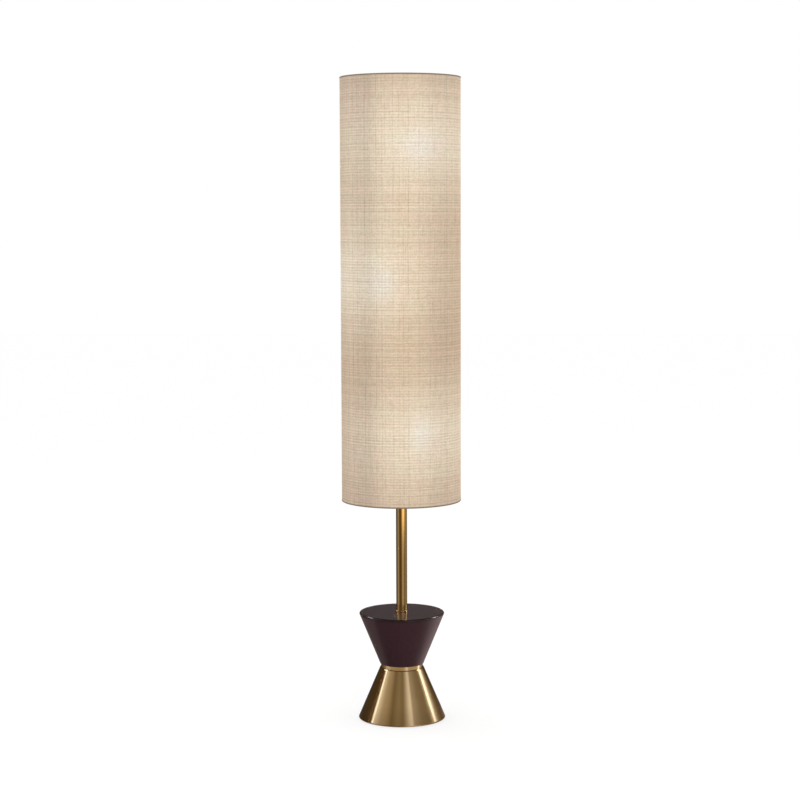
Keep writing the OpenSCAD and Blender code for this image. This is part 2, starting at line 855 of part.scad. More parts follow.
felt_pad();
base_plate();
base_screws();
base_weight();
base_cone();
cord_bush();
tie_nut();
tie_washer();
tie_rod();
neck_ring();
wood_cone();
foot_ring();
pole_coupler();
pole_lower();
hub(0);  // hub_low
switch_housing();
switch_body();
pole_middle();
hub(1);  // hub_middle
pole_upper();
hub(2);  // hub_top
pole_top();
top_cap();
top_stem();
arm(0);  // arm_low
arm(1);  // arm_middle
arm(2);  // arm_top
socket_cup(0);  // socket_cup_low
socket_cup(1);  // socket_cup_middle
socket_cup(2);  // socket_cup_top
socket_shell(0);  // socket_shell_low
socket_shell(1);  // socket_shell_middle
socket_shell(2);  // socket_shell_top
socket_core(0);  // socket_core_low
socket_core(1);  // socket_core_middle
socket_core(2);  // socket_core_top
screw_shell(0);  // screw_shell_low
screw_shell(1);  // screw_shell_middle
screw_shell(2);  // screw_shell_top
socket_contacts();
column_lead();
arm_leads();
bulb_glass(0);  // bulb_glass_low
bulb_glass(1);  // bulb_glass_middle
bulb_glass(2);  // bulb_glass_top
bulb_cap(0);  // bulb_cap_low
bulb_cap(1);  // bulb_cap_middle
bulb_cap(2);  // bulb_cap_top
knob();
shade_cloth();
shade_liner();
trim_top();
trim_bottom();
ring_top();
ring_bottom();
spider_top();
spider_bottom();
finial();
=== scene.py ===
"""Looks of the floor lamp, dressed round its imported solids.

A brass cone and a dark wood cone meet tip to tip and carry a brass pole. A tall
cylinder of slubbed linen hangs round the pole's upper part, over three lit bulbs.
Everything is in metres in the frame of the solids: +Z up and the front towards -Y.
"""

import json
import logging
import math
from collections.abc import Callable, Sequence
from dataclasses import dataclass, field
from enum import Enum
from functools import reduce
from typing import Protocol

import bmesh
import bpy
from mathutils import Matrix, Quaternion, Vector


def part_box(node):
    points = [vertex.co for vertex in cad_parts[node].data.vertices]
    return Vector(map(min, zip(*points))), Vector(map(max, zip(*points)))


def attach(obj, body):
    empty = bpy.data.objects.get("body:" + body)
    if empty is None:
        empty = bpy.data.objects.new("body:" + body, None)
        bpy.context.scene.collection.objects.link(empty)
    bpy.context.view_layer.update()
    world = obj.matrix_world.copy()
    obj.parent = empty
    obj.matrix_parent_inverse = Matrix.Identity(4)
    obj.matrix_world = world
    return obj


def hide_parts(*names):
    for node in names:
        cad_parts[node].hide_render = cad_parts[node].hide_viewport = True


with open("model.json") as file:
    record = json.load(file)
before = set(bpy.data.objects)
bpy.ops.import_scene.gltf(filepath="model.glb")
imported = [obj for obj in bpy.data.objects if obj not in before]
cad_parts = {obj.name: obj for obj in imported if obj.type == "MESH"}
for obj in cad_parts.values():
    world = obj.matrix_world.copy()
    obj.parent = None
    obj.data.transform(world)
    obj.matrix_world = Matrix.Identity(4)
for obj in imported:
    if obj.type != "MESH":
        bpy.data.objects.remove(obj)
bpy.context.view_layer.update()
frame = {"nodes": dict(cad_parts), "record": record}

log = logging.getLogger("floor_lamp")

Obj = bpy.types.Object
Material = bpy.types.Material
Socket = bpy.types.NodeSocket
Triple = tuple[float, float, float]
Colour = Triple
# A point as radius and height, a range, or a soft edge's start and width
Pair = tuple[float, float]

MM = 0.001
# Vertices closer than this are one
WELD = 1e-6
# A vertex this near to a place is picked with it
NEAR = 0.01 * MM
# How far past a rounding a long straight face begins, so that its shading stays straight
HOLD = 0.6 * MM
# A face is long when it has room for this many such starts
LONG = 3
# The rod's hole through both cones and the pole's foot ring
BORE = 5.15 * MM
# Faces round a wide piece and round a slim one
WIDE_STEPS, SLIM_STEPS = 256, 160
# Edges sharper than this many degrees stay sharp, on hard pieces and on soft ones
CREASE, SOFT_CREASE = 40.0, 50.0
STAND, SHADE = "stand", "shade"


# Modelling


class Part(Enum):
    """What a selection in edit mode is made of."""

    EDGE = "EDGE"
    FACE = "FACE"


@dataclass(frozen=True)
class Corner:
    """One corner of a turned outline: its radius from the axis, its height and its rounding."""

    r: float
    z: float
    rounding: float = 0.0


def outline(corners: Sequence[Corner], segments: int = 6) -> list[Pair]:
    """Draws the closed outline through some corners, with their roundings.

    Args:
        corners: The corners in order round the outline.
        segments: How many edges a rounding has.

    Returns:
        The outline's points as radius and height.
    """
    points: list[Pair] = []
    for index, corner in enumerate(corners):
        here = Vector((corner.r, corner.z))
        if not corner.rounding:
            points.append((here.x, here.y))
            continue
        before, after = corners[index - 1], corners[(index + 1) % len(corners)]
        back = (Vector((before.r, before.z)) - here).normalized()
        ahead = (Vector((after.r, after.z)) - here).normalized()
        half = back.angle(ahead) / 2
        centre = here + (back + ahead).normalized() * corner.rounding / math.sin(half)
        reach = corner.rounding / math.tan(half)
        arm = here + back * reach - centre
        way = 1 if back.x * ahead.y - back.y * ahead.x < 0 else -1
        sweep = way * (math.pi - 2 * half)
        turns = [Matrix.Rotation(sweep * step / segments, 2) for step in range(segments + 1)]
        spots = [centre + turn @ arm for turn in turns]
        room = LONG * (reach + HOLD)
        if math.dist((before.r, before.z), here) > room:
            spots.insert(0, here + back * (reach + HOLD))
        if math.dist((after.r, after.z), here) > room:
            spots.append(here + ahead * (reach + HOLD))
        points.extend((spot.x, spot.y) for spot in spots)
    return points


class Bench:
    """Modelling by hand: primitives, edit mode tools and modifiers that are applied."""

    @staticmethod
    def clear() -> None:
        """Deselects everything in object mode."""
        bpy.ops.object.select_all(action="DESELECT")

    @staticmethod
    def activate(obj: Obj) -> None:
        """Selects one object alone and makes it the active one.

        Args:
            obj: The object.
        """
        Bench.clear()
        obj.select_set(True)
        bpy.context.view_layer.objects.active = obj

    @staticmethod
    def named(name: str) -> Obj:
        """Takes the object that was just added.

        Args:
            name: The piece's name.

        Returns:
            The object, with its place moved into its mesh.
        """
        bpy.ops.object.transform_apply(location=True, rotation=True, scale=True)
        obj = bpy.context.active_object
        obj.name = obj.data.name = name
        return obj

    @staticmethod
    def pick(obj: Obj, part: Part, test: Callable[[Sequence[Vector]], bool]) -> None:
        """Selects edges or faces of a mesh in edit mode by their place.

        Args:
            obj: The object in edit mode.
            part: Which parts are picked.
            test: True for the vertices of a part that is picked.
        """
        bpy.ops.mesh.select_mode(type=part.value)
        bpy.ops.mesh.select_all(action="DESELECT")
        mesh = bmesh.from_edit_mesh(obj.data)
        for one in mesh.edges if part is Part.EDGE else mesh.faces:
            one.select_set(test([vertex.co for vertex in one.verts]))
        mesh.select_flush_mode()
        bmesh.update_edit_mesh(obj.data)

    @staticmethod
    def turned(name: str, points: Sequence[Pair], steps: int = WIDE_STEPS) -> Obj:
        """Turns a piece on the lamp's axis: one point is drawn out along the outline and spun round.

        Args:
            name: The piece's name.
            points: The closed outline as radius and height.
            steps: How many faces go round.

        Returns:
            The turned object.
        """
        Bench.clear()
        radius, height = points[0]
        bpy.ops.mesh.primitive_plane_add(size=MM, location=(radius, 0, height))
        obj = Bench.named(name)
        bpy.ops.object.mode_set(mode="EDIT")
        bpy.ops.mesh.select_mode(type="VERT")
        bpy.ops.mesh.select_all(action="SELECT")
        bpy.ops.mesh.merge(type="CENTER")
        for next_radius, next_height in [*points[1:], points[0]]:
            step = (next_radius - radius, 0, next_height - height)
            bpy.ops.mesh.extrude_region_move(TRANSFORM_OT_translate={"value": step})
            radius, height = next_radius, next_height
        bpy.ops.mesh.select_all(action="SELECT")
        bpy.ops.mesh.remove_doubles(threshold=WELD / 10)
        bpy.ops.mesh.spin(steps=steps, angle=math.tau, center=(0, 0, 0), axis=(0, 0, 1))
        Bench.close()
        return obj

    @staticmethod
    def band(name: str, node: str, inner: float, edge: float, segments: int, steps: int) -> Obj:
        """Turns a plain ring or tube with softened outer edges.

        Args:
            name: The piece's name.
            node: The solid that gives its heights and its outer radius.
            inner: Its inner radius.
            edge: The rounding of its outer edges.
            segments: How many edges a rounding has.
            steps: How many faces go round.

        Returns:
            The ring.
        """
        low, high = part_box(node)
        corners = [
            Corner(high.x, low.z, edge),
            Corner(high.x, high.z, edge),
            Corner(inner, high.z),
            Corner(inner, low.z),
        ]
        obj = Bench.turned(name, outline(corners, segments), steps)
        Bench.smooth(obj)
        return obj

    @staticmethod
    def close() -> None:
        """Merges doubles, points the faces outwards and leaves edit mode."""
        bpy.ops.mesh.select_all(action="SELECT")
        bpy.ops.mesh.remove_doubles(threshold=WELD)
        bpy.ops.mesh.normals_make_consistent(inside=False)
        bpy.ops.object.mode_set(mode="OBJECT")

    @staticmethod
    def smooth(obj: Obj, angle: float = CREASE) -> None:
        """Shades a piece smooth, except across edges sharper than an angle in degrees."""
        Bench.activate(obj)
        bpy.ops.object.shade_smooth_by_angle(angle=math.radians(angle))

    @staticmethod
    def thicken(obj: Obj, thickness: float) -> None:
        """Gives a sheet its thickness, from its outside inwards.

        Args:
            obj: The sheet.
            thickness: How thick it gets.
        """
        Bench.activate(obj)
        modifier = obj.modifiers.new("thickness", "SOLIDIFY")
        modifier.thickness, modifier.offset, modifier.use_even_offset = thickness, -1.0, True
        bpy.ops.object.modifier_apply(modifier=modifier.name)


# Finishes


@dataclass(frozen=True)
class Grain:
    """Cloudy noise: its features per unit along each axis, and how many finer layers it has."""

    scale: float | Triple
    detail: float = 2.0

    def along(self) -> Triple:
        """The features per unit along x, y and z."""
        return self.scale if isinstance(self.scale, tuple) else (self.scale,) * 3


@dataclass(frozen=True)
class Stop:
    """How bright and how warm the ring of cards is in one direction, in degrees right of the camera."""

    azimuth: float
    level: float
    warmth: float = 1.0
    # Brighter cards have the hue of this level
    white: float = 1.3
    # How fast green and blue fall with the level of a warm card
    browning: Pair = (0.13, 0.42)

    def colour(self) -> Colour:
        """The card's colour: the dimmer a warm card is, the browner."""
        green, blue = (min(self.level, self.white) ** (power * self.warmth) for power in self.browning)
        return self.level, self.level * green, self.level * blue


# Which sockets of a mix node hold its two colours and its result
MIX_FIRST, MIX_SECOND, MIX_RESULT = 6, 7, 2


class Graph:
    """Shader nodes under construction, with short calls for those that the finishes share."""

    def __init__(self, tree: bpy.types.NodeTree) -> None:
        """Empties the node tree that is to be filled."""
        self.nodes, self.links = tree.nodes, tree.links
        self.nodes.clear()

    def put(self, socket: Socket, value: object) -> None:
        """Links a socket to another one, or sets it.

        Args:
            socket: The input.
            value: The output that feeds it, or its number or colour.
        """
        if isinstance(value, bpy.types.NodeSocket):
            self.links.new(value, socket)
        elif socket.type == "RGBA":
            socket.default_value = (*value, 1.0)
        else:
            socket.default_value = value

    def add(self, kind: str, *values: object, **settings: object) -> bpy.types.Node:
        """Adds a node.

        Args:
            kind: Blender's name of it, after ShaderNode.
            *values: Sockets, numbers or colours for its inputs, in order.
            **settings: Its settings.

        Returns:
            The node.
        """
        node = self.nodes.new("ShaderNode" + kind)
        for name, value in settings.items():
            setattr(node, name, value)
        for socket, value in zip(node.inputs, values):
            self.put(socket, value)
        return node

    def place(self) -> Socket:
        """The point's own coordinates on its object, in metres."""
        return self.add("TexCoord").outputs["Object"]

    def parts(self, vector: Socket) -> tuple[Socket, Socket, Socket]:
        """The three parts of a vector."""
        return tuple(self.add("SeparateXYZ", vector).outputs)

    def joined(self, x: object, y: object, z: object = 0.0) -> Socket:
        """A vector from its three parts."""
        return self.add("CombineXYZ", x, y, z).outputs[0]

    def even(self, number: Socket) -> Socket:
        """A vector with three equal parts."""
        return self.joined(number, number, number)

    def math(self, operation: str, *values: object, clamp: bool = False) -> Socket:
        """The result of one calculation, kept from 0 to 1 where it is clamped."""
        return self.add("Math", *values, operation=operation, use_clamp=clamp).outputs[0]

    def times(self, first: object, second: object) -> Socket:
        """The product of two numbers."""
        return self.math("MULTIPLY", first, second)

    def squared(self, number: Socket) -> Socket:
        """A number times itself."""
        return self.times(number, number)

    def total(self, terms: Sequence[Socket]) -> Socket:
        """The sum of some numbers."""
        return reduce(lambda first, second: self.math("ADD", first, second), terms)

    def line(self, number: object, slope: object, start: object, clamp: bool = False) -> Socket:
        """A number times a slope, plus a start."""
        return self.math("MULTIPLY_ADD", number, slope, start, clamp=clamp)

    def spread(self, share: Socket, low: float, high: float) -> Socket:
        """A share from 0 to 1 spread evenly from low to high."""
        return self.line(share, high - low, low)

    def rise(self, number: Socket, start: float, width: float) -> Socket:
        """A soft edge: 0 before the start and 1 past the width, or 1 and then 0 for a negative width."""
        return self.line(number, 1 / width, -start / width, clamp=True)

    def contrast(self, share: Socket, gain: float) -> Socket:
        """A share from 0 to 1, drawn apart about the middle."""
        return self.line(share, gain, (1 - gain) / 2, clamp=True)

    def mixed(self, first: Socket, second: Socket, share: float) -> Socket:
        """A share of the first number and the rest of the second."""
        return self.line(first, share, self.times(second, 1 - share))

    def bell(self, square: Socket) -> Socket:
        """A soft bell over a squared distance: 1 at 0, and next to nothing past 9."""
        return self.math("EXPONENT", self.times(square, -0.5))

    def chance(self, number: Socket) -> Socket:
        """A share from 0 to 1 that is drawn anew for each whole number."""
        return self.add("TexWhiteNoise", (0.0, 0.0, 0.0), number, noise_dimensions="1D").outputs["Value"]

    def vector(self, operation: str, *values: object) -> Socket:
        """The result of one calculation with vectors, a number for a dot product or a length."""
        node = self.add("VectorMath", *values, operation=operation)
        return node.outputs["Value" if operation in ("DOT_PRODUCT", "LENGTH") else "Vector"]

    def scaled(self, vector: object, factors: object) -> Socket:
        """A vector or colour times another, part by part."""
        return self.vector("MULTIPLY", vector, factors)

    def added(self, first: object, second: object) -> Socket:
        """The sum of two vectors or colours."""
        return self.vector("ADD", first, second)

    def tinted(self, colour: object, amount: Socket) -> Socket:
        """A colour times a number, as a vector."""
        return self.scaled(colour, self.even(amount))

    def noise(self, vector: Socket, grain: Grain) -> Socket:
        """Cloudy noise about 0.5.

        Args:
            vector: Where it is read.
            grain: How fine it is.

        Returns:
            The noise from 0 to 1.
        """
        node = self.add("TexNoise", self.scaled(vector, grain.along()))
        self.put(node.inputs["Scale"], 1.0)
        self.put(node.inputs["Detail"], grain.detail)
        return node.outputs["Fac"]

    def blend(self, share: object, first: object, second: object) -> Socket:
        """A colour between two colours.

        Args:
            share: How much of the second one there is.
            first: A colour or socket.
            second: A colour or socket.

        Returns:
            The mixed colour.
        """
        node = self.add("Mix", share, data_type="RGBA")
        self.put(node.inputs[MIX_FIRST], first)
        self.put(node.inputs[MIX_SECOND], second)
        return node.outputs[MIX_RESULT]

    def ramp(self, share: Socket, stops: Sequence[Stop]) -> Socket:
        """Colours that follow a row of stops.

        Args:
            share: The place, from 0 at -180 degrees to 1 at 180 degrees.
            stops: The stops in order, from -180 to 180 degrees.

        Returns:
            The colour as a vector, which may be brighter than 1.
        """
        node = self.add("ValToRGB", share)
        peak = max(max(stop.colour()) for stop in stops)
        elements = node.color_ramp.elements
        elements[0].position, elements[1].position = 0.0, 1.0
        for stop in stops[1:-1]:
            elements.new(stop.azimuth / 360 + 0.5)
        for element, stop in zip(elements, stops):
            element.color = (*(part / peak for part in stop.colour()), 1)
        return self.scaled(node.outputs[0], (peak,) * 3)

    def looked_at(self) -> Socket:
        """What tells seeing from lighting.

        Returns:
            1 where the camera looks, also by mirrors and through glass, and 0 for light.
        """
        path = self.add("LightPath").outputs
        seen = self.math("MAXIMUM", path["Is Camera Ray"], path["Is Glossy Ray"])
        return self.math("MAXIMUM", seen, path["Is Transmission Ray"])


class Tree(Graph):
    """A material under construction: one principled surface and what feeds it."""

    def __init__(self, name: str) -> None:
        """Starts the material.

        Args:
            name: The material's name.
        """
        self.material = bpy.data.materials.new(name)
        self.material.use_nodes = True
        super().__init__(self.material.node_tree)
        self.surface = self.add("BsdfPrincipled")
        self.output = self.add("OutputMaterial", self.surface.outputs["BSDF"])

    def set(self, **values: object) -> None:
        """Sets inputs of the surface, with _ in a name for a space."""
        for name, value in values.items():
            self.put(self.surface.inputs[name.replace("_", " ")], value)

    def bump(self, height: Socket, depth: float, strength: float = 1.0) -> None:
        """Gives the surface a relief.

        Args:
            height: The relief from 0 to 1.
            depth: How far 1 stands above 0, in metres.
            strength: How much of it shows.
        """
        node = self.add("Bump")
        for name, value in (("Strength", strength), ("Distance", depth), ("Height", height)):
            self.put(node.inputs[name], value)
        self.set(Normal=node.outputs["Normal"])


class Finish(Protocol):
    """What a piece is made of, seen from outside."""

    def material(self) -> Material:
        """Builds the material."""


class Brushing(Enum):
    """Which way the fine lines of a metal run."""

    ROUND = Grain((18.0, 18.0, 2600.0), 3)
    ALONG = Grain((1400.0, 1400.0, 6.0), 3)
    NONE = Grain(400.0, 3)


@dataclass(frozen=True)
class MetalFinish:
    """Metal with fine brushing, cloudy tone and slight dulling.

    The foot is how much darker the metal is made at the floor: painted shade, up to the foot's height.
    """

    name: str
    colour: Colour
    dull: Colour
    roughness: Pair
    brushing: Brushing = Brushing.NONE
    line_depth: float = 0.003 * MM
    spin: float = 0.0
    quarter_turn: float = 0.25
    edge: Colour = (1.0, 1.0, 1.0)
    foot: float = 0.0
    painted_shade_high: float = 0.045
    clouds: Grain = Grain(22, 3)
    cloud_share: float = 0.4
    gain: float = 2.0

    def material(self) -> Material:
        """Builds the material.

        Returns:
            The metal.
        """
        tree = Tree(self.name)
        place = tree.place()
        lines = tree.noise(place, self.brushing.value)
        tone = tree.mixed(tree.noise(place, self.clouds), lines, self.cloud_share)
        colour = tree.blend(tree.contrast(tone, self.gain), self.dull, self.colour)
        # Painted shade: the colour darkens towards the floor
        if self.foot:
            height = tree.parts(place)[2]
            painted_foot_shade = tree.line(height, self.foot / self.painted_shade_high, 1 - self.foot, clamp=True)
            colour = tree.tinted(colour, painted_foot_shade)
        tree.set(Base_Color=colour, Metallic=1.0, Specular_Tint=self.edge)
        tree.set(Roughness=tree.spread(tone, *self.roughness))
        if self.spin:
            tangent = tree.add("Tangent", direction_type="RADIAL", axis="Z").outputs["Tangent"]
            tree.set(Anisotropic=self.spin, Anisotropic_Rotation=self.quarter_turn, Tangent=tangent)
        tree.bump(lines, self.line_depth)
        return tree.material


@dataclass(frozen=True)
class WoodFinish:
    """Turned wood with an espresso stain, lacquer on top and painted shade on its rim.

    The rim's dark band is painted shade, standing in for the dark reflection in its rounded edge.
    It starts and ends this deep under the top, and near the top it also takes in what lies past
    the rim's radius.
    """

    top: float
    stain: Colour = (0.0440, 0.0155, 0.0210)
    deep: Colour = (0.0340, 0.0120, 0.0165)
    painted_rim_shade: Colour = (0.001, 0.0005, 0.0005)
    rim_start: float = 0.4 * MM
    rim_end: float = 8.0 * MM
    rim_r: float = 96.0 * MM
    rim_near: float = 2.0 * MM
    warp: Grain = Grain((9, 9, 4))
    warp_by: float = 0.02
    grain: Grain = Grain((260, 260, 9), 4)
    bands: Grain = Grain((34, 34, 3))
    grain_share: float = 0.6
    gain: float = 3.0
    roughness: Pair = (0.34, 0.48)
    pores: float = 0.03 * MM
    pores_seen: float = 0.3

    def material(self) -> Material:
        """Builds the material.

        Returns:
            The wood.
        """
        tree = Tree("espresso_wood")
        place = tree.place()
        x, y, z = tree.parts(place)
        bent = tree.joined(tree.line(tree.noise(place, self.warp), self.warp_by, x), y, z)
        grain = tree.noise(bent, self.grain)
        tone = tree.mixed(grain, tree.noise(bent, self.bands), self.grain_share)
        colour = tree.blend(tree.contrast(tone, self.gain), self.deep, self.stain)
        # Painted shade: a dark band round the rim, where the rounded edge would mirror something dark
        out = tree.rise(tree.vector("LENGTH", tree.joined(x, y)), self.rim_r, MM)
        out = tree.times(out, tree.math("GREATER_THAN", z, self.top - self.rim_near))
        under = tree.math("MAXIMUM", tree.rise(z, self.top, -self.rim_start), out)
        dark = tree.math("SUBTRACT", under, tree.rise(z, self.top, -self.rim_end))
        tree.set(Base_Color=tree.blend(dark, colour, self.painted_rim_shade))
        tree.set(Roughness=tree.spread(grain, *self.roughness), Specular_IOR_Level=0.15)
        tree.set(Coat_Weight=0.8, Coat_Roughness=0.06, Coat_IOR=1.42)
        tree.bump(grain, self.pores, self.pores_seen)
        return tree.material


@dataclass(frozen=True)
class DullFinish:
    """A plain dull stuff such as plastic, rubber, felt or cast iron."""

    name: str
    light: Colour
    dark: Colour
    grain: float
    roughness: Pair
    relief: float
    fuzz: float = 0.0
    # How many times broader the clouds are than the grain
    broad: float = 12.0
    grain_share: float = 0.6
    gain: float = 2.2

    def material(self) -> Material:
        """Builds the material.

        Returns:
            The dull stuff.
        """
        tree = Tree(self.name)
        place = tree.place()
        fine = tree.noise(place, Grain(self.grain, 4))
        tone = tree.mixed(fine, tree.noise(place, Grain(self.grain / self.broad)), self.grain_share)
        tree.set(Base_Color=tree.blend(tree.contrast(tone, self.gain), self.dark, self.light))
        tree.set(Roughness=tree.spread(fine, *self.roughness))
        if self.fuzz:
            tree.set(Sheen_Weight=self.fuzz, Sheen_Roughness=0.5)
        tree.bump(fine, self.relief)
        return tree.material


@dataclass(frozen=True)
class StyreneFinish:
    """White styrene sheet on the shade's inside."""

    white: Colour = (0.80, 0.775, 0.72)
    cream: Colour = (0.76, 0.71, 0.62)
    haze: Grain = Grain((14, 14, 9), 3)
    grain: Grain = Grain(500)
    roughness: Pair = (0.42, 0.6)
    relief: float = 0.02 * MM

    def material(self) -> Material:
        """Builds the material.

        Returns:
            The sheet's plastic.
        """
        tree = Tree("styrene_liner")
        place = tree.place()
        fine = tree.noise(place, self.grain)
        tree.set(Base_Color=tree.blend(tree.noise(place, self.haze), self.cream, self.white))
        tree.set(Roughness=tree.spread(fine, *self.roughness), Specular_IOR_Level=0.35)
        tree.bump(fine, self.relief)
        return tree.material


@dataclass(frozen=True)
class BulbFinish:
    """Frosted glass of a lit bulb, brightest round the ball's middle and dimmer towards the cap."""

    middle: Vector
    frost: Colour = (0.86, 0.84, 0.80)
    clear: Colour = (0.78, 0.76, 0.72)
    hot: Colour = (1.0, 0.80, 0.56)
    warm: Colour = (0.95, 0.62, 0.34)
    strength: float = 9.0
    # How fast the light grows with the height, and its share at the middle
    growth: Pair = (18.0, 0.95)
    levels: Pair = (0.35, 1.0)
    grain: Grain = Grain(900)
    roughness: Pair = (0.35, 0.55)
    relief: float = 0.01 * MM

    def material(self) -> Material:
        """Builds the material.

        Returns:
            The lit glass.
        """
        tree = Tree("frosted_bulb")
        place = tree.place()
        height = tree.parts(tree.vector("SUBTRACT", place, tuple(self.middle)))[2]
        share = tree.line(height, *self.growth, clamp=True)
        lit = tree.tinted(tree.blend(share, self.warm, self.hot), tree.spread(share, *self.levels))
        frost = tree.noise(place, self.grain)
        tree.set(Base_Color=tree.blend(frost, self.clear, self.frost))
        tree.set(Roughness=tree.spread(frost, *self.roughness))
        tree.set(Emission_Color=lit, Emission_Strength=self.strength)
        tree.bump(frost, self.relief)
        return tree.material


@dataclass(frozen=True)
class BulbLight:
    """How one bulb's painted light shows in the cloth: its halo's power and width, and its pale core.

    The core stands at a share of the bulb's distance from the axis, raised by its rise.
    """

    power: float
    wide: float
    out: float
    rise: float
    size: float
    core: float


@dataclass(frozen=True)
class Glow:
    """Painted light of the bulbs in the cloth, given as the cloth's emission: a broad halo and a pale core in
    front of each bulb.
    """

    bulbs: tuple[Vector, ...]
    radius: float
    lights: tuple[BulbLight, ...] = (
        BulbLight(1.02, 0.148, 0.95, 0.008, 1.0, 0.95),
        BulbLight(0.96, 0.160, 0.86, -0.010, 1.15, 0.90),
        BulbLight(1.03, 0.172, 0.89, -0.013, 1.5, 1.08),
    )
    halo: Colour = (0.300, 0.292, 0.218)
    # What the brightest part of the halos has besides
    extra: Colour = (0.004, 0.036, 0.058)
    halo_out: float = 1.3
    halo_high: float = 0.112
    core: Colour = (0.016, 0.055, 0.106)
    core_wide: float = 0.0190
    core_high: float = 0.0270
    # How fast a core comes in from the side to the front, and how softly it levels off
    core_front: Pair = (1.6, 0.3)
    # A bulb's core on the side next to it, in shares of the radius and of a core's width and height
    side: Triple = (1 / 3, 1.6, 1.2)
    side_power: float = 0.7
    # Painted light: front, back and both sides are lighter than what lies between them
    painted_lobes: Colour = (0.070, 0.054, 0.028)
    # Painted light that the whole cloth gives off besides
    rest: Colour = (0.042, 0.002, 0.0)
    # Painted light: both ends are lighter than the middle
    ends: Colour = (0.020, 0.030, 0.038)
    middle_z: float = 0.989
    half_high: float = 0.481

    def spot(self, tree: Tree, at: Socket, middle: Triple, wide: Triple) -> Socket:
        """A soft round spot of light.

        Args:
            tree: The material it is for.
            at: The point on the cloth.
            middle: The spot's middle.
            wide: Its width along each axis, or 0 where it doesn't fade.

        Returns:
            How bright the point is, from 0 to 1.
        """
        away = tree.vector("SUBTRACT", at, middle)
        away = tree.scaled(away, tuple(1 / one if one else 0.0 for one in wide))
        return tree.bell(tree.vector("DOT_PRODUCT", away, away))

    def spots(self, tree: Tree, at: Socket, front: Socket) -> tuple[Socket, Socket]:
        """The halos and the cores of all bulbs.

        Args:
            tree: The material they are for.
            at: The point on the cloth.
            front: How much of a core shows there.

        Returns:
            How bright the halos are, and how bright the cores are.
        """
        halos, cores = [], []
        deep, wide, high = self.side
        side = (self.radius * deep, self.core_wide * wide, self.core_high * high)
        for bulb, light in zip(self.bulbs, self.lights):
            middle = (bulb.x * self.halo_out, 0, bulb.z)
            halo = self.spot(tree, at, middle, (light.wide, 0, self.halo_high))
            halos.append(tree.times(halo, light.power))
            middle = (bulb.x * light.out, 0, bulb.z + light.rise)
            core = self.spot(tree, at, middle, (self.core_wide * light.size, 0, self.core_high))
            cores.append(tree.times(core, tree.times(front, light.core)))
            middle = (math.copysign(self.radius, bulb.x), 0, bulb.z + light.rise)
            cores.append(tree.times(self.spot(tree, at, middle, side), self.side_power))
        return tree.total(halos), tree.total(cores)

    def light(self, tree: Tree, at: Socket) -> Socket:
        """The painted light that the cloth gives off for the bulbs behind it.

        Args:
            tree: The material it is for.
            at: The point on the cloth, in metres.

        Returns:
            The colour of the light as a vector.
        """
        x, y, z = tree.parts(at)
        growth, softness = self.core_front
        facing = tree.times(tree.math("ABSOLUTE", y), 1 / self.radius)
        front = tree.math("SMOOTH_MIN", tree.times(facing, growth), 1.0, softness)
        halo, core = self.spots(tree, at, front)
        turn = tree.math("SUBTRACT", tree.squared(x), tree.squared(y))
        turn = tree.times(turn, 1 / self.radius**2)
        end = tree.line(z, 1 / self.half_high, -self.middle_z / self.half_high)
        light = tree.added(tree.tinted(self.halo, halo), self.rest)
        light = tree.added(light, tree.tinted(self.extra, tree.squared(halo)))
        light = tree.added(light, tree.tinted(self.ends, tree.squared(end)))
        light = tree.added(light, tree.tinted(self.core, core))
        return tree.added(light, tree.tinted(self.painted_lobes, tree.squared(turn)))


# How far apart in the noise two neighbouring yarns are read, so that they differ
APART = 3.7
# The mean of noise and of chance
MEAN = 0.5


